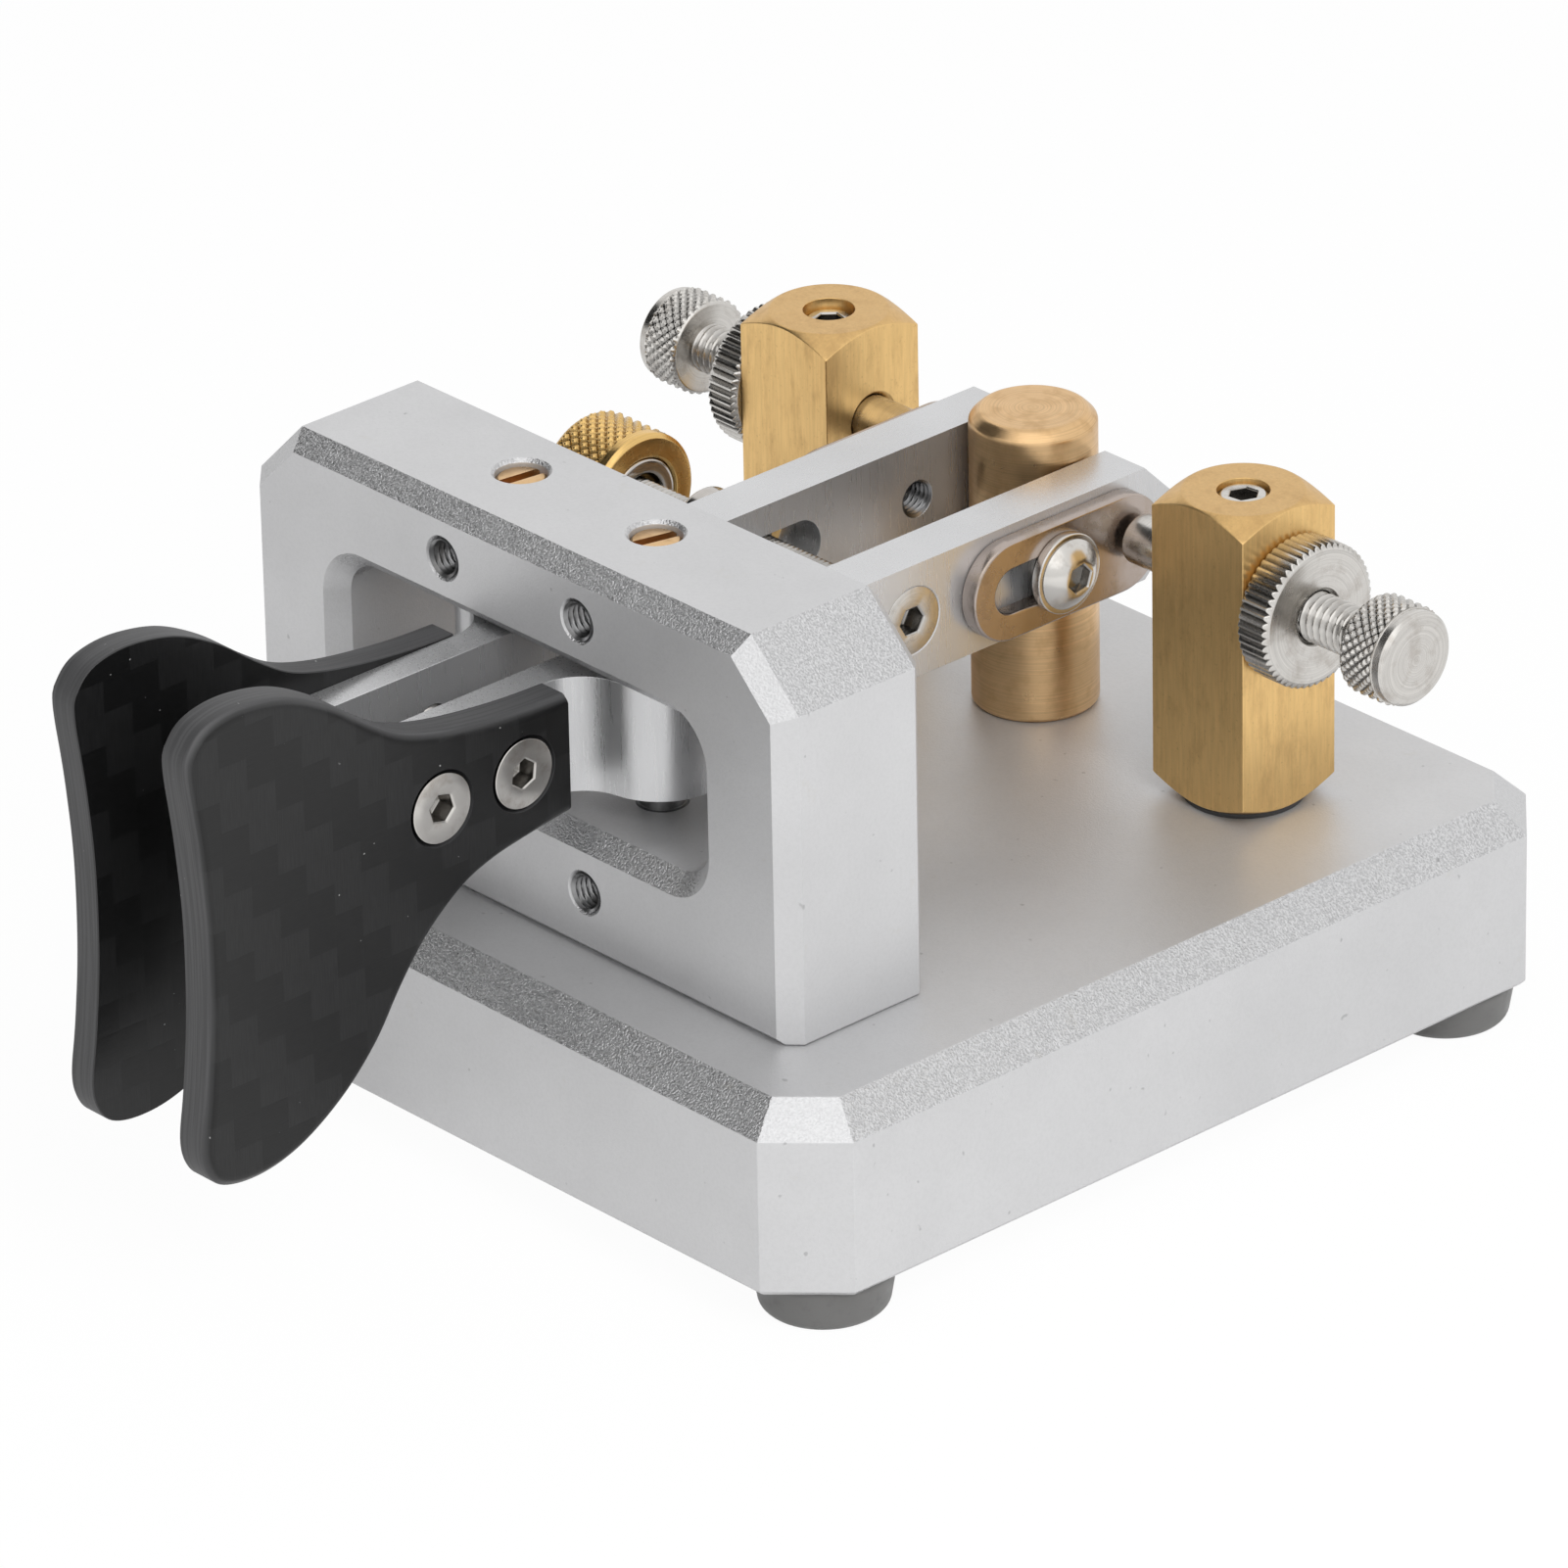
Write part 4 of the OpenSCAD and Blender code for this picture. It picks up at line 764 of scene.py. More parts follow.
def flat_screw_outline(sizes, length):
    """Outline of a countersunk socket screw: its head's flat face at zero, the thread upward."""
    head, shank, cone = sizes.flat_head / 2, sizes.small_thread / 2, sizes.flat_head_depth
    rim, tip, socket_depth = 0.1 * MM, 0.4 * MM, 1.6 * MM
    # The head's rim and underside are marked for painted shade, a dark ring round the head
    rest = [(rim, head, ROUND, PAINTED_SHADE), (cone, shank, ROUND, PAINTED_SHADE), (length - tip, shank),
            (length, shank - tip), (length, 0)]
    return rounded(socketed(sizes.small_socket, socket_depth, head - rim / 2, rest), rim)


def grub_screw(diameter, length, socket, socket_depth):
    """Headless socket screw on the Z axis: its socket end at zero, the thread upward."""
    radius, tip, ease = diameter / 2, 0.3 * MM, 0.06 * MM
    rest = [(tip, radius), (length - tip, radius), (length, radius - tip), (length, 0)]
    return turned("master", rounded(socketed(socket, socket_depth, radius - tip, rest), ease))


def button_screw(sizes, height, head, length):
    """Domed socket screw on the Z axis: its head's underside at zero, its dome up and its shank down."""
    dome = (head ** 2 + height ** 2) / (2 * height)
    half, shank, tip = sizes.small_socket / 2, sizes.small_thread / 2, 0.3 * MM
    socket_floor, socket_cone = height - 1.2 * MM, height - 1.4 * MM
    rim = half + SOCKET_LEAD
    face = rim * 1.25

    def rise(radius):
        return math.sqrt(dome ** 2 - radius ** 2) - dome + height

    arc = [(rise(head * k / 12), head * k / 12) for k in range(7, 12)]
    # The socket's rings are marked for painted shade
    corners = [(socket_cone, 0, HEXAGON, PAINTED_SHADE), (socket_floor, half, HEXAGON, PAINTED_SHADE),
               (rise(face) - SOCKET_LEAD, half, HEXAGON, PAINTED_SHADE), (rise(face), rim, HEXAGON),
               (rise(face), face), *arc, (0.08 * MM, head - 0.02 * MM), (0, head - 0.1 * MM), (0, shank),
               (tip - length, shank), (-length, shank - tip), (-length, 0)]
    return turned("master", outline(corners))


def tapped_sleeve(depth, sizes):
    """Thread of a tapped hole on the Z axis, from the hole's mouth at zero up to a depth."""
    wall, crest = sizes.small_thread / 2 + 0.03 * MM, sizes.small_thread / 2 - 0.27 * MM
    start, lead, cut_depth = 0.03 * MM, 0.2 * MM, 0.26 * MM
    corners = outline([(start, wall), (start + lead, crest), (depth, crest), (depth, wall)])
    points = stepped(corners, start, depth, sizes.small_pitch / GROOVE_STEPS)
    sleeve = turned("master", points, segments=64, ring=True)
    return threaded(sleeve, crest, start, depth + MM, sizes.small_pitch, cut_depth, None, side=-1.0)


def threaded(piece, radius, start, end, pitch, depth, material, side=1.0):
    """Cuts a right-hand thread into a turned piece."""
    return run_tree(piece, relief_tree(), Side=side, Radius=radius, Start=start, End=end, Fade=pitch / 2,
                    Depth=depth, Count=1.0, Rise=1 / pitch, Fall=1 / pitch, Flat=THREAD_FLAT,
                    Finish=material)


def knurled(piece, radius, start, end, count, pitch, depth, flat, material):
    """Cuts a crossed knurl into a turned piece, or straight grooves where the pitch is zero."""
    slope = 1 / pitch if pitch else 0.0
    return run_tree(piece, relief_tree(), Side=1.0, Radius=radius, Start=start, End=end, Fade=KNURL_FADE,
                    Depth=depth, Count=float(count), Rise=slope, Fall=-slope, Flat=flat, Finish=material)


def stand(piece, node, direction, slot):
    """Sets a turned piece in its node's place, from one end of the node's box along a direction."""
    place = face_middle(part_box(node), -direction)
    return settle(put(smooth(piece), place, direction), slot, [node])


def contact_screw(side, node, sizes):
    """Knurled contact screw, its thread cut between the lock nut and the head."""
    outward = side * RIGHT
    head, length = turned_size(node)
    corners = turned_corners(node, face_middle(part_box(node), -outward), outward)
    (_, thread), (head_in, _) = max(zip(corners, corners[1:]), key=lambda run: run[1][0] - run[0][0])
    collar_in = next(along for along, radius in reversed(corners) if radius > head - MERGE_GAP)
    thread_in, margin, teeth = 0.4 * length, 0.1 * MM, sizes.head_knurl_count
    points = rounded([(0, 0), *corners, (length, 0)], sizes.fine_ease)
    points = stepped(points, thread_in, head_in - margin, sizes.contact_pitch / (GROOVE_STEPS + 1))
    points = stepped(points, head_in + margin, collar_in, sizes.head_knurl_pitch / GROOVE_STEPS)
    piece = turned(node + ".finish", points, teeth * GROOVE_STEPS)
    metal = finish("turned_nickel")
    threaded(piece, thread, thread_in, head_in, sizes.contact_pitch, sizes.thread_depth, metal)
    knurled(piece, head, head_in, collar_in + margin, teeth, sizes.head_knurl_pitch, sizes.knurl_depth,
            sizes.knurl_flat, metal)
    stand(piece, node, outward, "bright_steel")


def lock_nut(side, node, sizes):
    """Thin round nut with straight grooves cut deep into its rim."""
    radius, length = turned_size(node)
    bore, edge, lead, grooves = 2.05 * MM, 0.32 * MM, 0.3 * MM, sizes.lock_nut_grooves
    face = radius - 1.6 * edge
    # The bore's ends are marked for painted shade, a dark ring round the thread
    corners = [(lead, bore, ROUND, PAINTED_SHADE), (0, bore + lead), (0, face), (edge, radius),
               (length - edge, radius), (length, face), (length, bore + lead),
               (length - lead, bore, ROUND, PAINTED_SHADE), (lead, bore, ROUND, PAINTED_SHADE)]
    points = stepped(rounded(corners, sizes.fine_ease), 0, length, 0.2 * MM)[:-1]
    piece = turned(node + ".finish", points, grooves * GROOVE_STEPS, ring=True)
    knurled(piece, radius, -MM, length + MM, grooves, 0, sizes.lock_nut_depth, sizes.lock_nut_flat,
            finish("turned_nickel"))
    stand(piece, node, side * RIGHT, "bright_steel")


def tension_nut(node, magnet, sizes):
    """Knurled thumb nut with a smooth collar and a recess for its magnet."""
    radius, length = turned_size(node)
    magnet_radius, magnet_length = turned_size(magnet)
    room, edge = 0.04 * MM, 0.35 * MM
    recess, bore, collar = magnet_radius + room, sizes.small_thread / 2 + room, radius - 0.06 * MM
    collar_end = 1.0 * MM
    knurl_start = collar_end + 0.2 * MM
    corners = [(edge / 2, recess), (0, recess + edge / 2), (0, collar - edge), (edge, collar),
               (collar_end, collar), (knurl_start, radius), (length - edge, radius),
               (length, radius - edge), (length, bore), (magnet_length, bore), (magnet_length, recess)]
    count, pitch, depth = sizes.nut_knurl_count, sizes.nut_knurl_pitch, 1.2 * sizes.knurl_depth
    points = stepped(rounded(corners, sizes.fine_ease), knurl_start, length - edge, pitch / GROOVE_STEPS)
    piece = turned(node + ".finish", points, count * GROOVE_STEPS, ring=True)
    knurled(piece, radius, collar_end, length, count, pitch, depth, sizes.knurl_flat,
            finish("knurled_brass"))
    stand(piece, node, -RIGHT, "satin_brass")


def ring_piece(node, label, slot, bore, ease, steps=3):
    """Flat ring with rounded edges, such as a washer or a ring magnet."""
    radius, length = turned_size(node)
    seam = (length / 2, bore)
    corners = [seam, (0, bore), (0, radius), (length, radius), (length, bore), seam]
    piece = turned(node + ".finish", rounded(corners, ease, steps)[:-1], segments=72, ring=True)
    stand(paint(piece, finish(label)), node, RIGHT, slot)


def tension_screw(node, sizes):
    """Long countersunk screw with its thread cut over its whole shank."""
    _, length = turned_size(node)
    cone, pitch, depth = sizes.flat_head_depth, sizes.small_pitch, 0.75 * sizes.thread_depth
    points = stepped(flat_screw_outline(sizes, length), cone, length, pitch / GROOVE_STEPS)
    piece = turned(node + ".finish", points, segments=48)
    threaded(piece, sizes.small_thread / 2, cone, length, pitch, depth, finish("turned_nickel"))
    stand(piece, node, -RIGHT, "bright_steel")


# Finger pieces

def outline_loop(node, x):
    """Ordered points of a node's outer outline in the plane at x, as (y, z) pairs."""
    work = merged_mesh(node)
    level = {vert for vert in work.verts if abs(vert.co.x - x) < MERGE_GAP * 5}
    rim = {}
    for edge in work.edges:
        if set(edge.verts) <= level and any(abs(face.normal.x) < 0.5 for face in edge.link_faces):
            for vert in edge.verts:
                rim.setdefault(vert, []).append(edge.other_vert(vert))
    loops = []
    while rim:
        vert, loop = next(iter(rim)), []
        while vert:
            loop.append((vert.co.y, vert.co.z))
            near = rim.pop(vert)
            vert = next((other for other in near if other in rim), None)
        loops.append(loop)
    work.free()
    return max(loops, key=len)


def smooth_loop(points, step):
    """A closed loop resampled along a smooth curve, with its two hardest corners kept sharp."""
    places = [Vector(point) for point in points]
    count = len(places)

    def turn_at(k):
        before = (places[k] - places[k - 1]).normalized()
        after = (places[(k + 1) % count] - places[k]).normalized()
        return before.angle(after, 0.0)

    corners = sorted(range(count), key=turn_at)[-2:]
    fine = []
    for k in range(count):
        n = (k + 1) % count
        a = places[k] if k in corners else places[k - 1]
        d = places[n] if n in corners else places[(n + 1) % count]
        b, c = places[k], places[n]
        straight = k in corners and n in corners
        runs = 1 if straight else max(1, round((c - b).length / step))
        for i in range(runs):
            t = i / runs
            fine.append((2 * b + (c - a) * t + (2 * a - 5 * b + 4 * c - d) * t ** 2
                         + (3 * b - a - 3 * c + d) * t ** 3) / 2)
    return fine


def drawn_in(loop, distance):
    """A loop moved inwards by a distance along its own normals."""
    area = sum(a.x * b.y - b.x * a.y for a, b in zip(loop, loop[1:] + loop[:1])) / 2
    way = 1 if area > 0 else -1
    inner = []
    for before, here, after in zip(loop[-1:] + loop[:-1], loop, loop[1:] + loop[:1]):
        first, second = (here - before).normalized(), (after - here).normalized()
        normals = [Vector((-run.y, run.x)) * way for run in (first, second)]
        middle = (normals[0] + normals[1]).normalized()
        inner.append(here + middle * (distance / max(0.5, middle.dot(normals[0]))))
    return inner


def finger_piece(side, node, screws, sizes):
    """Paddle-shaped finger piece with a bevelled outer face and countersunk holes."""
    outward = side * RIGHT
    inner, outer = [face_middle(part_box(node), way).x for way in (-outward, outward)]
    thick, ease, bevel = abs(outer - inner), sizes.fine_ease, sizes.finger_bevel
    loop = smooth_loop(outline_loop(node, inner), 0.4 * MM)
    corner, edge = Vector((thick - bevel, 0)), Vector((thick, bevel))
    soft = (edge - corner).normalized() * ease * 1.5
    layers = [(0, ease), (ease, 0), (thick - bevel - ease, 0), corner + soft, edge - soft,
              (thick, bevel + ease * 1.5), (thick, bevel + 0.4 * MM)]
    rear = max(point.x for point in loop) - MERGE_GAP
    work = bmesh.new()
    rings = []
    for along, inset in layers:
        ring = drawn_in(loop, inset) if inset else [point.copy() for point in loop]
        for point, full in zip(ring, loop):
            if full.x > rear:
                point.x = full.x
        rings.append([work.verts.new((inner + side * along, point.x, point.y)) for point in ring])
    for cap in (rings[0], rings[-1]):
        work.faces.new(cap)
    skin(work, rings)
    piece = bmesh_piece(node + ".finish", work)
    mouth, bore = sizes.flat_head / 2 + 0.26 * MM, sizes.small_thread / 2 + 0.2 * MM
    lip, cone = 0.5 * MM, sizes.flat_head_depth + 0.4 * MM
    corners = [(-MM, 0), (-MM, mouth), (lip, mouth), (cone, bore), (2 * thick, bore), (2 * thick, 0)]
    tools = []
    for box in solid_boxes(screws):
        place = face_middle(box, outward)
        place.x = outer
        tools.append(put(turned("hole", outline(corners), segments=64), place, -outward))
    paint(cut(piece, *tools), finish("carbon_laminate"))
    settle(smooth(piece), "carbon_laminate", [node])


def side_screws(side, node, sizes):
    """The two countersunk screws of a finger piece."""
    low, high = solid_boxes(node)[0]
    master = turned("master", flat_screw_outline(sizes, high.x - low.x))
    replace_by_copies(node, master, -side * RIGHT, "bright_steel", "bright_steel", turn=23, first=14)


def plate_fixing(side, word, sizes):
    """The button screw and washer that clamp a contact plate, and the thread that the screw sits in."""
    outward = side * RIGHT
    screw, washer = word + "_plate_screw", word + "_plate_washer"
    tip, top = [face_middle(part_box(screw), way) for way in (-outward, outward)]
    seat = face_middle(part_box(washer), outward)
    arm = face_middle(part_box(word + "_contact_plate"), -outward)
    head, _ = turned_size(screw)
    held, past_tip = 2.2 * MM, 0.3 * MM
    hole_start = tip.x - side * past_tip
    master = button_screw(sizes, abs(top.x - seat.x), head, abs(seat.x - arm.x) + held)
    seated = [Vector((seat.x, tip.y, tip.z))]
    piece = copies(screw + ".finish", master, seated, outward, finish("bright_steel"), first=11)
    settle(piece, "bright_steel", [screw])
    ring_piece(washer, "turned_nickel", "bright_steel", bore=1.6 * MM, ease=0.14 * MM)
    sleeve = tapped_sleeve(abs(arm.x - hole_start) - held, sizes)
    mouth, body = [Vector((hole_start, tip.y, tip.z))], NODES[screw]["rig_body"]
    piece = copies(body + "_tapped_thread", sleeve, mouth, outward, finish("tapped_thread"))
    settle(piece, "machined_aluminium", [], body)


# Properties

def length_property(name, description, default):
    """A length that a user may change."""
    return bpy.props.FloatProperty(name=name, description=description, default=default, min=0,
                                   unit="LENGTH", subtype="DISTANCE", precision=5)


def count_property(name, description, default):
    """A number of grooves or teeth."""
    return bpy.props.IntProperty(name=name, description=description, default=default, min=8)


def share_property(name, description, default):
    """A share from 0 to 1."""
    return bpy.props.FloatProperty(name=name, description=description, default=default, min=0, max=1,
                                   subtype="FACTOR")


def colour_property(name, description, default):
    """A finish's colour."""
    return bpy.props.FloatVectorProperty(name=name, description=description, default=default, size=3,
                                         min=0, max=1, subtype="COLOR")


class PaddleKeySizes(bpy.types.PropertyGroup):
    """Sizes of the details that the finishes add"""
    edge_ease: length_property("Edge ease", "Rounding of milled edges", 0.12 * MM)
    fine_ease: length_property("Fine ease", "Rounding of turned and fine edges", 0.08 * MM)
    base_ease: length_property("Block ease", "Rounding of the base and yoke's edges", 0.12 * MM)
    plate_ease: length_property("Plate ease", "Rounding of the contact plates' edges", 0.22 * MM)
    seam_ease: length_property("Seam ease", "Rounding round the yoke's foot", 0.26 * MM)
    pivot_slot: length_property("Pivot slot", "Width of a pivot screw's slot", 0.92 * MM)
    finger_bevel: length_property("Finger bevel", "Bevel round a finger piece's outer face", 0.55 * MM)
    flat_head: length_property("Flat head", "Head diameter of a countersunk screw", 5.6 * MM)
    flat_head_depth: length_property("Flat head depth", "Depth of a countersunk head", 1.4 * MM)
    small_thread: length_property("Small thread", "Diameter of the small screws", 3 * MM)
    small_pitch: length_property("Small pitch", "Pitch of the small screws' thread", 0.5 * MM)
    small_socket: length_property("Small socket", "Width across a small hexagon socket", 2 * MM)
    lock_socket: length_property("Lock socket", "Width across a lock screw's socket", 1.5 * MM)
    contact_pitch: length_property("Contact pitch", "Pitch of the contact screws' thread", 0.7 * MM)
    thread_depth: length_property("Thread depth", "Depth of the contact screws' thread", 0.34 * MM)
    knurl_depth: length_property("Knurl depth", "Depth of the crossed knurls", 0.25 * MM)
    knurl_flat: share_property("Knurl flat", "Share of a knurl left flat between its grooves", 0.35)
    head_knurl_count: count_property("Head knurl", "Knurl points round a contact screw's head", 28)
    head_knurl_pitch: length_property("Head knurl pitch", "Distance of knurl points along it", 0.88 * MM)
    nut_knurl_count: count_property("Nut knurl", "Knurl points round the tension nut", 32)
    nut_knurl_pitch: length_property("Nut knurl pitch", "Distance of knurl points along it", 1.05 * MM)
    lock_nut_grooves: count_property("Lock nut grooves", "Grooves round a lock nut", 54)
    lock_nut_depth: length_property("Lock nut depth", "Depth of a lock nut's grooves", 0.34 * MM)
    lock_nut_flat: share_property("Lock nut flat", "Share of a lock nut's rim between its grooves", 0.3)


class PaddleKeyColours(bpy.types.PropertyGroup):
    """Colours of the finishes"""
    aluminium: colour_property("Aluminium", "Blasted base and yoke", (0.605, 0.605, 0.612))
    blasted_gloss: share_property("Blasted gloss", "How metallic the blasted flats look", 0.65)
    aluminium_stain: colour_property("Aluminium stain", "Stains on the base and yoke", (0.5, 0.47, 0.4))
    milled_aluminium: colour_property("Milled aluminium", "Levers", (0.615, 0.617, 0.625))
    brass: colour_property("Brass", "Contact posts", (0.83, 0.555, 0.235))
    # Also used for painted shade on the brass posts' upward faces
    brass_stain_and_shade: colour_property("Brass stain", "Dull patches on brass", (0.46, 0.28, 0.12))
    turned_brass: colour_property("Turned brass", "Centre post and pivot screws", (0.72, 0.48, 0.25))
    knurled_brass: colour_property("Knurled brass", "Tension nut", (0.8, 0.53, 0.2))
    plate: colour_property("Plate", "Contact plates", (0.46, 0.395, 0.355))
    plate_stain: colour_property("Plate stain", "Dull patches on the contact plates", (0.36, 0.28, 0.2))
    nickel: colour_property("Nickel", "Screws and lock nuts", (0.64, 0.62, 0.59))
    nickel_stain: colour_property("Nickel stain", "Dull patches on nickel", (0.36, 0.32, 0.28))
    dark_steel: colour_property("Dark steel", "Pivot pins and cap screws", (0.2, 0.2, 0.2))
    dark_steel_stain: colour_property("Dark steel stain", "Dull patches on it", (0.1, 0.1, 0.1))
    magnet: colour_property("Magnet", "Ring magnets", (0.56, 0.53, 0.5))
    magnet_stain: colour_property("Magnet stain", "Dull patches on magnets", (0.336, 0.318, 0.3))
    # Half the milled aluminium's colour, as painted shade in the tapped holes
    thread: colour_property("Thread", "Threads in the tapped holes", (0.3075, 0.3085, 0.3125))
    thread_stain: colour_property("Thread stain", "Dirt in the tapped holes", (0.1, 0.09, 0.08))
    carbon: colour_property("Carbon", "Finger pieces' faces", (0.007, 0.007, 0.0072))
    carbon_edge: colour_property("Carbon edge", "Finger pieces' cut edges", (0.066, 0.066, 0.068))
    carbon_speck: colour_property("Carbon speck", "Bright specks in the laminate", (0.4, 0.4, 0.4))
    black_plastic: colour_property("Black plastic", "Jack and washers", (0.025, 0.025, 0.026))
    nylon: colour_property("Nylon", "Insulating bushes", (0.74, 0.72, 0.66))
    rubber: colour_property("Rubber", "Feet", (0.22, 0.217, 0.213))
    wire_red: colour_property("Red wire", "Left contact's wire", (0.45, 0.03, 0.02))
    wire_black: colour_property("Black wire", "Common wire", (0.02, 0.02, 0.02))
    wire_white: colour_property("White wire", "Right contact's wire", (0.7, 0.68, 0.62))


# Operators

class PADDLE_KEY_OT_base(bpy.types.Operator):
    """Base block, with the grain of its bevels"""
    bl_idname = "paddle_key.base"
    bl_label = "Base"

    def execute(self, context):
        dress("base_plate", "blasted_aluminium", context.scene.paddle_key_sizes.base_ease)
        return {"FINISHED"}


class PADDLE_KEY_OT_feet(bpy.types.Operator):
    """Four frosted rubber feet"""
    bl_idname = "paddle_key.feet"
    bl_label = "Feet"

    def execute(self, context):
        node = "rubber_feet"
        low, high = solid_boxes(node)[0]
        height, top = high.z - low.z, (high.x - low.x) / 2
        rim, sole, ease = 0.5 * MM, 0.9 * top, 0.7 * MM
        corners = [(0, 0), (0, top), (height - rim, sole), (height, sole - rim), (height, 0)]
        master = turned("master", rounded(corners, ease, steps=6), segments=64)
        replace_by_copies(node, master, -UP, "clear_rubber", "clear_rubber")
        return {"FINISHED"}


class PADDLE_KEY_OT_yoke(bpy.types.Operator):
    """Yoke with its flared window and bevels"""
    bl_idname = "paddle_key.yoke"
    bl_label = "Yoke"

    def execute(self, context):
        sizes = context.scene.paddle_key_sizes
        work = merged_mesh("yoke")
        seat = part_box("yoke")[0].z + MERGE_GAP
        foot = [edge for edge in work.edges if all(vert.co.z < seat for vert in edge.verts)
                and len({round(face.normal.z) for face in edge.link_faces}) > 1]
        bmesh.ops.bevel(work, geom=foot, offset=sizes.seam_ease, segments=4, profile=0.5, affect="EDGES")
        piece = smooth(eased(bmesh_piece("yoke.finish", work), sizes.base_ease))
        settle(paint(piece, finish("blasted_aluminium")), "blasted_aluminium", ["yoke"])
        return {"FINISHED"}


class PADDLE_KEY_OT_pivots(bpy.types.Operator):
    """Slotted pivot screws, lower pins, and lock screws in their threaded holes"""
    bl_idname = "paddle_key.pivots"
    bl_label = "Pivots"

    def execute(self, context):
        sizes = context.scene.paddle_key_sizes
        self.pivot_screws(sizes)
        dress("lower_pivot_pins", "dark_steel", sizes.fine_ease)
        node = "pivot_lock_screws"
        boxes = solid_boxes(node)
        low, high = boxes[0]
        master = grub_screw(sizes.small_thread - 0.1 * MM, high.y - low.y, sizes.lock_socket, 1.2 * MM)
        replace_by_copies(node, master, BACK, "bright_steel", "bright_steel", turn=31, first=5)
        self.tap_holes([face_middle(box, -BACK) for box in boxes], sizes)
        return {"FINISHED"}

    def pivot_screws(self, sizes):
        """Slotted screws above the levers, level with each other near the top of their holes."""
        node = "pivot_screws"
        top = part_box(node)[1].z
        edge, dip, margin, slot_depth = 0.24 * MM, 0.02 * MM, 0.01 * MM, MM
        work = bmesh.new()
        for low, high in solid_boxes(node):
            axis = face_middle((low, high), -UP)
            radius, length = (high.x - low.x) / 2, top - low.z
            own = turned_corners(node, axis, UP, radius + margin)
            journal = own[0][1]
            shoulder = min(along for along, reach in own if reach > radius - margin)
            # The top band and rim are marked for painted shade, a dark ring in the hole
            corners = [(0, 0), (0, journal), (shoulder, journal), (shoulder, radius),
                       (length - edge, radius, ROUND, PAINTED_SHADE), (length - dip, radius - edge, ROUND, PAINTED_SHADE),
                       (length, radius - edge - 1.5 * dip), (length, 0)]
            screw = put(turned("screw", outline(corners), segments=64), axis, UP)
            floor = np.array([vert.co.xy for vert in NODES[node].data.vertices
                              if abs(vert.co.z - high.z + slot_depth) < margin
                              and low.x < vert.co.x < high.x])
            way = np.linalg.svd(floor - floor.mean(0))[2][0]
            face = Vector((axis.x, axis.y, top))
            cut(screw, slot_tool(face, way, sizes.pivot_slot, slot_depth, 4 * radius))
            work.from_mesh(screw.data)
            bpy.data.objects.remove(screw)
        piece = paint(smooth(bmesh_piece(node + ".finish", work)), finish("pivot_brass"))
        settle(piece, "satin_brass", [node])

    def tap_holes(self, points, sizes):
        """Threads in the yoke's lock-screw holes."""
        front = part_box("yoke")[0].y
        sleeve = tapped_sleeve(points[0].y - front, sizes)
        places = [Vector((point.x, front, point.z)) for point in points]
        piece = copies("yoke_tapped_threads", sleeve, places, BACK, finish("tapped_thread"))
        settle(piece, "machined_aluminium", [], "base")


class PADDLE_KEY_OT_levers(bpy.types.Operator):
    """Both levers, milled and tumbled"""
    bl_idname = "paddle_key.levers"
    bl_label = "Levers"

    def execute(self, context):
        for node in ("right_lever", "left_lever"):
            dress(node, "machined_aluminium", context.scene.paddle_key_sizes.edge_ease)
        return {"FINISHED"}


class PADDLE_KEY_OT_finger_pieces(bpy.types.Operator):
    """Woven carbon finger pieces and their screws"""
    bl_idname = "paddle_key.finger_pieces"
    bl_label = "Finger Pieces"

    def execute(self, context):
        sizes = context.scene.paddle_key_sizes
        for side, word in SIDES:
            finger_piece(side, word + "_finger_piece", word + "_finger_screws", sizes)
            side_screws(side, word + "_finger_screws", sizes)
        return {"FINISHED"}


class PADDLE_KEY_OT_contact_plates(bpy.types.Operator):
    """Slotted contact plates with their washers, button screws and the threads that these sit in"""
    bl_idname = "paddle_key.contact_plates"
    bl_label = "Contact Plates"

    def execute(self, context):
        sizes = context.scene.paddle_key_sizes
        for side, word in SIDES:
            node = word + "_contact_plate"
            piece = paint(eased_copy(node, sizes.plate_ease, 3), finish("plate_bronze"))
            settle(piece, "satin_brass", [node])
            plate_fixing(side, word, sizes)
        return {"FINISHED"}


class PADDLE_KEY_OT_posts(bpy.types.Operator):
    """Centre post, contact posts, their insulating washers and set screws"""
    bl_idname = "paddle_key.posts"
    bl_label = "Posts"

    def execute(self, context):
        sizes = context.scene.paddle_key_sizes
        for node in ("right_contact_post", "left_contact_post"):
            dress(node, "satin_brass", sizes.edge_ease)
        self.centre_post()
        dress("insulating_washers", "black_plastic", 0.05 * MM)
        node = "post_grub_screws"
        low, high = solid_boxes(node)[0]
        master = grub_screw(high.x - low.x, high.z - low.z, sizes.small_socket, 1.6 * MM)
        replace_by_copies(node, master, -UP, "bright_steel", "bright_steel", turn=40, first=12)
        return {"FINISHED"}

    def centre_post(self):
        """Round post that the levers rest against."""
        node = "centre_post"
        low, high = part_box(node)
        radius, height = (high.x - low.x) / 2, high.z - low.z
        edge, foot, ease = 0.8 * MM, 0.3 * MM, 0.3 * MM
        tap, tap_depth = 2.1 * MM, 9 * MM
        corners = [(tap_depth, 0), (tap_depth, tap), (0, tap), (0, radius - foot), (foot, radius),
                   (height - edge, radius), (height, radius - edge), (height, 0)]
        piece = turned(node + ".finish", rounded(corners, ease, steps=4), segments=96)
        stand(paint(piece, finish("turned_brass")), node, UP, "satin_brass")


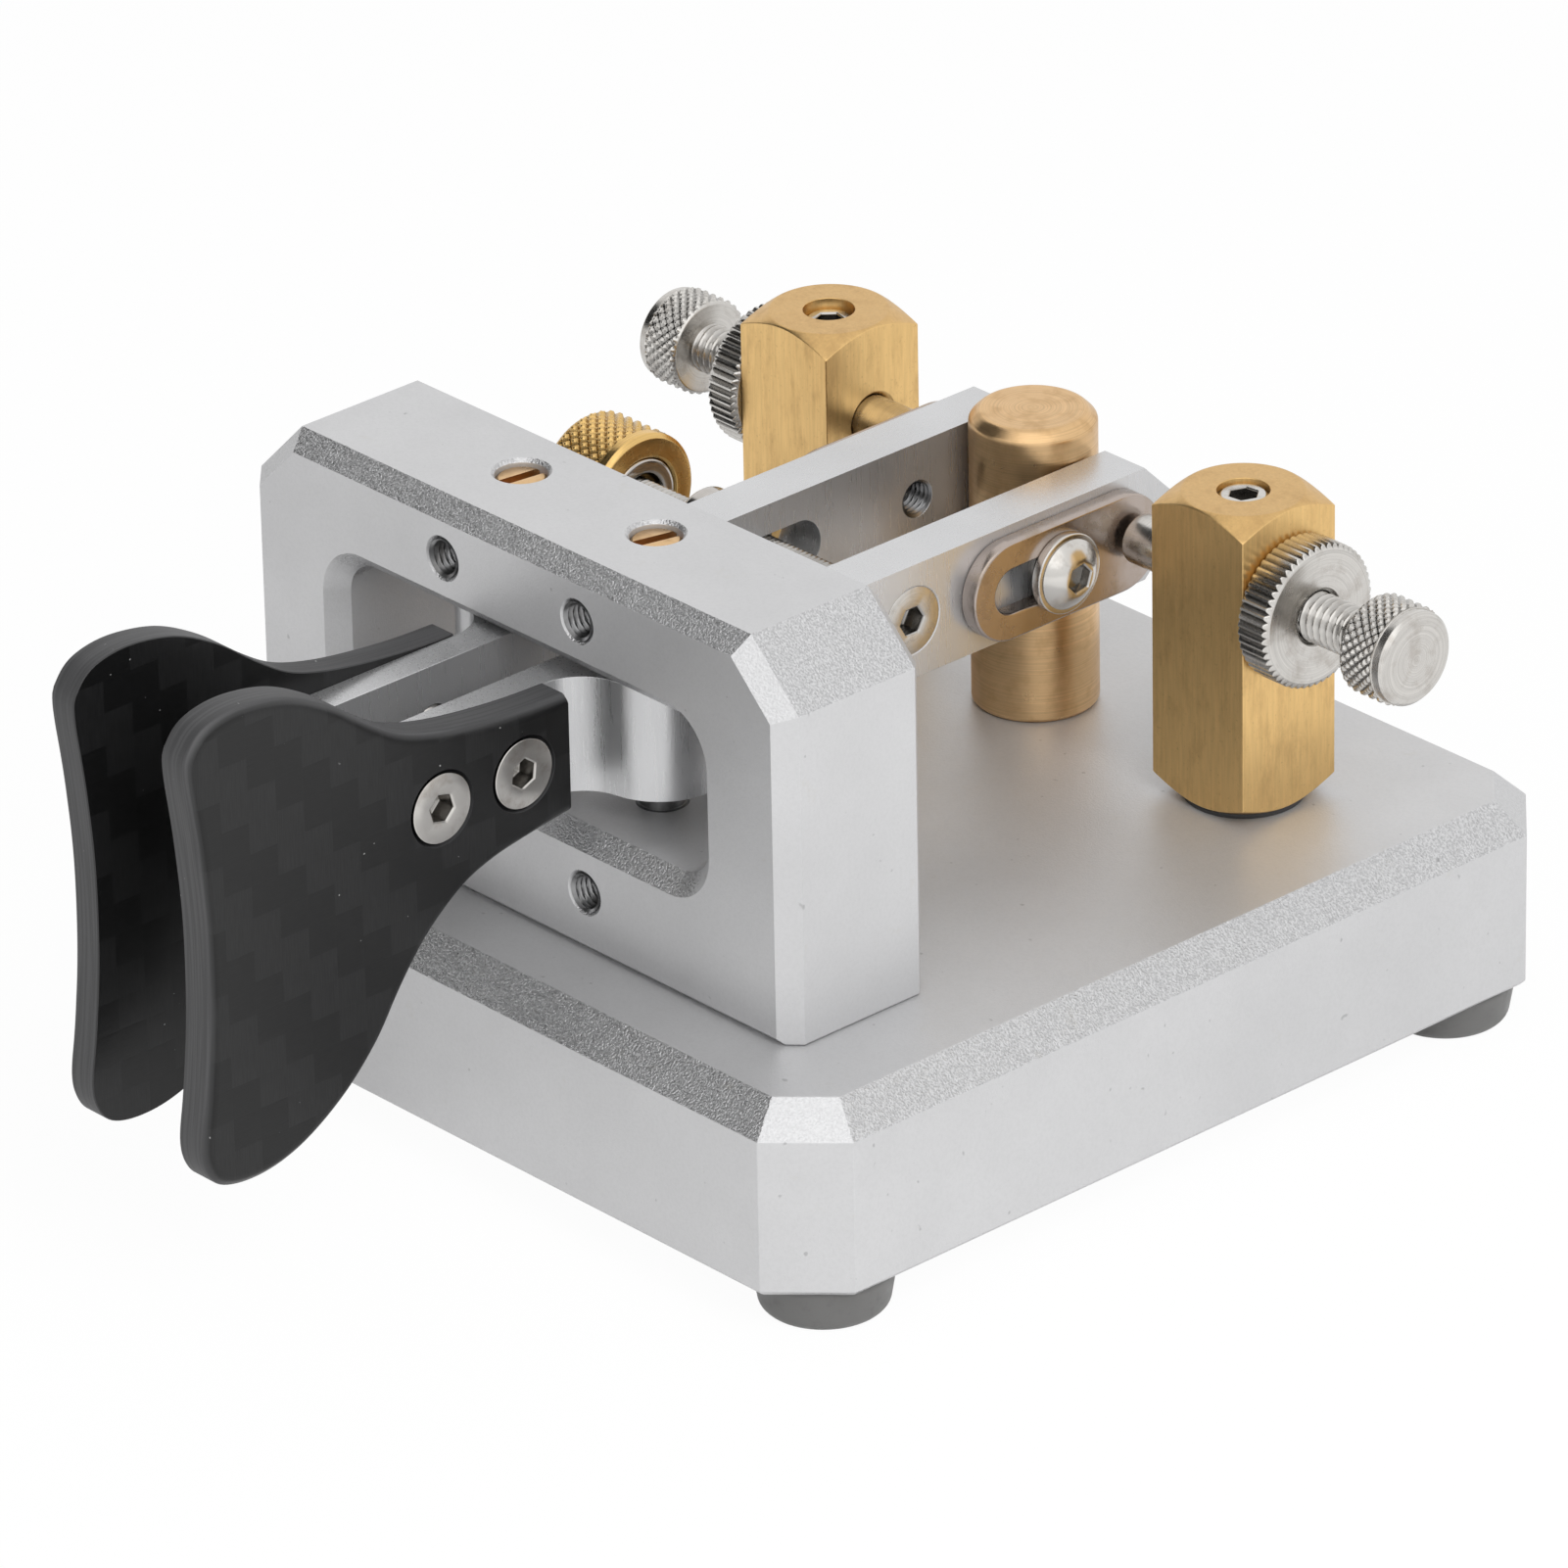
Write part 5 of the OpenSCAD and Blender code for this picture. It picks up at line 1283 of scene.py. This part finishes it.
class PADDLE_KEY_OT_contact_screws(bpy.types.Operator):
    """Contact screws with knurled heads, and their grooved lock nuts"""
    bl_idname = "paddle_key.contact_screws"
    bl_label = "Contact Screws"

    def execute(self, context):
        sizes = context.scene.paddle_key_sizes
        for side, word in SIDES:
            contact_screw(side, word + "_contact_screw", sizes)
            lock_nut(side, word + "_lock_nut", sizes)
        return {"FINISHED"}


class PADDLE_KEY_OT_tension(bpy.types.Operator):
    """Tension screw, knurled nut and the two ring magnets"""
    bl_idname = "paddle_key.tension"
    bl_label = "Tension Adjuster"

    def execute(self, context):
        sizes = context.scene.paddle_key_sizes
        tension_screw("tension_screw", sizes)
        tension_nut("tension_nut", "nut_magnet", sizes)
        for node in ("nut_magnet", "lever_magnet"):
            ring_piece(node, "magnet_nickel", "magnet_nickel", bore=2 * MM, ease=0.35 * MM, steps=4)
        return {"FINISHED"}


class PADDLE_KEY_OT_underside(bpy.types.Operator):
    """Jack, wires, terminals, bushes and the screws from below"""
    bl_idname = "paddle_key.underside"
    bl_label = "Underside"

    def execute(self, context):
        sizes = context.scene.paddle_key_sizes
        for node, slot, ease in (("jack_socket", "black_plastic", sizes.fine_ease),
                                 ("jack_ring_nut", "bright_steel", sizes.fine_ease),
                                 ("ring_terminals", "bright_steel", sizes.fine_ease),
                                 ("insulating_bushes", "white_nylon", sizes.fine_ease),
                                 ("post_screws", "bright_steel", sizes.edge_ease),
                                 ("yoke_screws", "dark_steel", sizes.edge_ease)):
            dress(node, slot, ease)
        self.wires("internal_wires")
        return {"FINISHED"}

    def wires(self, node):
        """Wires under the base, rounded off."""
        work = merged_mesh(node)
        bmesh.ops.recalc_face_normals(work, faces=work.faces)
        piece = bmesh_piece(node + ".finish", work)
        round_off = piece.modifiers.new("round", "SUBSURF")
        round_off.levels = round_off.render_levels = 1
        apply_modifiers(piece)
        for polygon in piece.data.polygons:
            polygon.use_smooth = True
        settle(paint(piece, finish("wire_insulation")), "wire_insulation", [node])


class PADDLE_KEY_OT_stage(bpy.types.Operator):
    """Floor, surroundings, lamps and camera"""
    bl_idname = "paddle_key.stage"
    bl_label = "Stage"

    def execute(self, context):
        key = sum(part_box("base_plate"), Vector()) / 2
        self.floor()
        self.world(context)
        self.dark_card(key)
        self.lamps(key)
        self.camera(context)
        context.scene.view_settings.view_transform = "Standard"
        return {"FINISHED"}

    def floor(self):
        """Wide white floor that keeps a faint shadow."""
        half_span, drop = 3.0, 0.02 * MM
        piece = square("floor", half_span, Vector((0, 0, -drop)), UP)
        material = bpy.data.materials.new("white_floor")
        material.use_nodes = True
        tree = material.node_tree
        tree.nodes.clear()
        rays = add_node(tree, "ShaderNodeLightPath").outputs
        camera_share, mirror_share = 0.96, 0.5
        matt = add_node(tree, "ShaderNodeBsdfDiffuse", {"Color": FLOOR_WHITE})
        glow = add_node(tree, "ShaderNodeEmission", {"Color": WHITE, "Strength": 1.0})
        mirrored = maths(tree, "ADD", rays["Is Glossy Ray"], rays["Is Transmission Ray"], clamp=True)
        seen = maths(tree, "MAXIMUM", maths(tree, "MULTIPLY", rays["Is Camera Ray"], camera_share),
                     maths(tree, "MULTIPLY", mirrored, mirror_share))
        mixed = add_node(tree, "ShaderNodeMixShader", {0: seen, 1: matt.outputs[0], 2: glow.outputs[0]})
        add_node(tree, "ShaderNodeOutputMaterial", {"Surface": mixed.outputs[0]})
        paint(piece, material)

    def world(self, context):
        """White surroundings for the camera and for gloss, and a softer light for matt surfaces."""
        world = bpy.data.worlds.new("white_room")
        world.use_nodes = True
        tree = world.node_tree
        tree.nodes.clear()
        rays = add_node(tree, "ShaderNodeLightPath").outputs
        seen = maths(tree, "ADD", maths(tree, "ADD", rays["Is Camera Ray"], rays["Is Glossy Ray"]),
                     rays["Is Transmission Ray"], clamp=True)
        light, white = [add_node(tree, "ShaderNodeBackground", {"Color": WHITE, "Strength": strength})
                        for strength in (0.6, 1.0)]
        mixed = add_node(tree, "ShaderNodeMixShader", {0: seen, 1: light.outputs[0], 2: white.outputs[0]})
        add_node(tree, "ShaderNodeOutputWorld", {"Surface": mixed.outputs[0]})
        context.scene.world = world

    def dark_card(self, key):
        """Dark card out of view at the left, which the front bevels mirror."""
        azimuth, elevation, distance, half_span = -56, 37, 0.5, 0.25
        way = direction_to(azimuth, elevation)
        card = square("dark_card", half_span, key + way * distance, way)
        material = Coat("dark_card", (0.01, 0.01, 0.01), 0.0, 0.9).material
        paint(card, material)
        card.visible_camera = card.visible_diffuse = card.visible_shadow = False

    def lamps(self, key):
        """Soft box over the camera, and a lamp for the floor at the right, which only matt things see."""
        floor = direction_to(78, 0) * 0.1
        boxes = (dict(name="front_light", target=key, azimuth=45, elevation=50, distance=1.0, width=1.1,
                      power=2.0, glossy=True),
                 dict(name="floor_light", target=floor, azimuth=70, elevation=50, distance=0.45, width=0.3,
                      power=1.8, glossy=False))
        for box in boxes:
            data = bpy.data.lights.new(box["name"], "AREA")
            data.shape = "SQUARE"
            data.size, data.energy = box["width"], box["power"]
            lamp = bpy.data.objects.new(box["name"], data)
            bpy.context.scene.collection.objects.link(lamp)
            way = direction_to(box["azimuth"], box["elevation"])
            lamp.location = box["target"] + way * box["distance"]
            lamp.rotation_euler = way.to_track_quat("Z", "Y").to_euler()
            lamp.visible_glossy = box["glossy"]

    def camera(self, context):
        """Camera at the photograph's place."""
        data = bpy.data.cameras.new("camera")
        data.sensor_width, data.lens = 36, CAMERA_LENS
        data.clip_start, data.clip_end = 0.01, 10
        camera = bpy.data.objects.new("camera", data)
        context.scene.collection.objects.link(camera)
        back = direction_to(*CAMERA_VIEW)
        roll = Matrix.Rotation(math.radians(CAMERA_ROLL), 3, back)
        camera.location = CAMERA_PLACE
        camera.rotation_euler = (roll @ back.to_track_quat("Z", "Y").to_matrix()).to_euler()
        context.scene.camera = camera


def square(name, half_span, place, facing):
    """A square sheet round a place, facing a direction."""
    work = bmesh.new()
    bmesh.ops.create_grid(work, x_segments=1, y_segments=1, size=half_span)
    return put(bmesh_piece(name, work), place, facing)


def direction_to(azimuth, elevation):
    """Unit vector from the key towards a place round it: azimuth 0 is the front and 90 the right."""
    turn, rise = math.radians(azimuth), math.radians(elevation)
    return Vector((math.sin(turn) * math.cos(rise), -math.cos(turn) * math.cos(rise), math.sin(rise)))


PIECE_STEPS = ("base", "feet", "yoke", "pivots", "levers", "finger_pieces", "contact_plates", "posts",
               "contact_screws", "tension", "underside", "stage")


class PADDLE_KEY_PT_panel(bpy.types.Panel):
    """Lists the finishing steps and their sizes and colours"""
    bl_idname = "PADDLE_KEY_PT_panel"
    bl_label = "Paddle Key"
    bl_space_type = "VIEW_3D"
    bl_region_type = "UI"
    bl_category = "Paddle Key"

    def draw(self, context):
        for step in PIECE_STEPS:
            self.layout.operator("paddle_key." + step)
        for group in (context.scene.paddle_key_sizes, context.scene.paddle_key_colours):
            box = self.layout.box()
            for name in group.__annotations__:
                box.prop(group, name)


CLASSES = (PaddleKeySizes, PaddleKeyColours, PADDLE_KEY_OT_base, PADDLE_KEY_OT_feet, PADDLE_KEY_OT_yoke,
           PADDLE_KEY_OT_pivots, PADDLE_KEY_OT_levers, PADDLE_KEY_OT_finger_pieces,
           PADDLE_KEY_OT_contact_plates, PADDLE_KEY_OT_posts, PADDLE_KEY_OT_contact_screws,
           PADDLE_KEY_OT_tension, PADDLE_KEY_OT_underside, PADDLE_KEY_OT_stage, PADDLE_KEY_PT_panel)


def register():
    for item in CLASSES:
        bpy.utils.register_class(item)
    bpy.types.Scene.paddle_key_sizes = bpy.props.PointerProperty(type=PaddleKeySizes)
    bpy.types.Scene.paddle_key_colours = bpy.props.PointerProperty(type=PaddleKeyColours)


def unregister():
    del bpy.types.Scene.paddle_key_colours
    del bpy.types.Scene.paddle_key_sizes
    for item in reversed(CLASSES):
        bpy.utils.unregister_class(item)


def main():
    """Makes every piece and the stage."""
    register()
    for step in PIECE_STEPS:
        getattr(bpy.ops.paddle_key, step)()


if __name__ == "__main__":
    main()
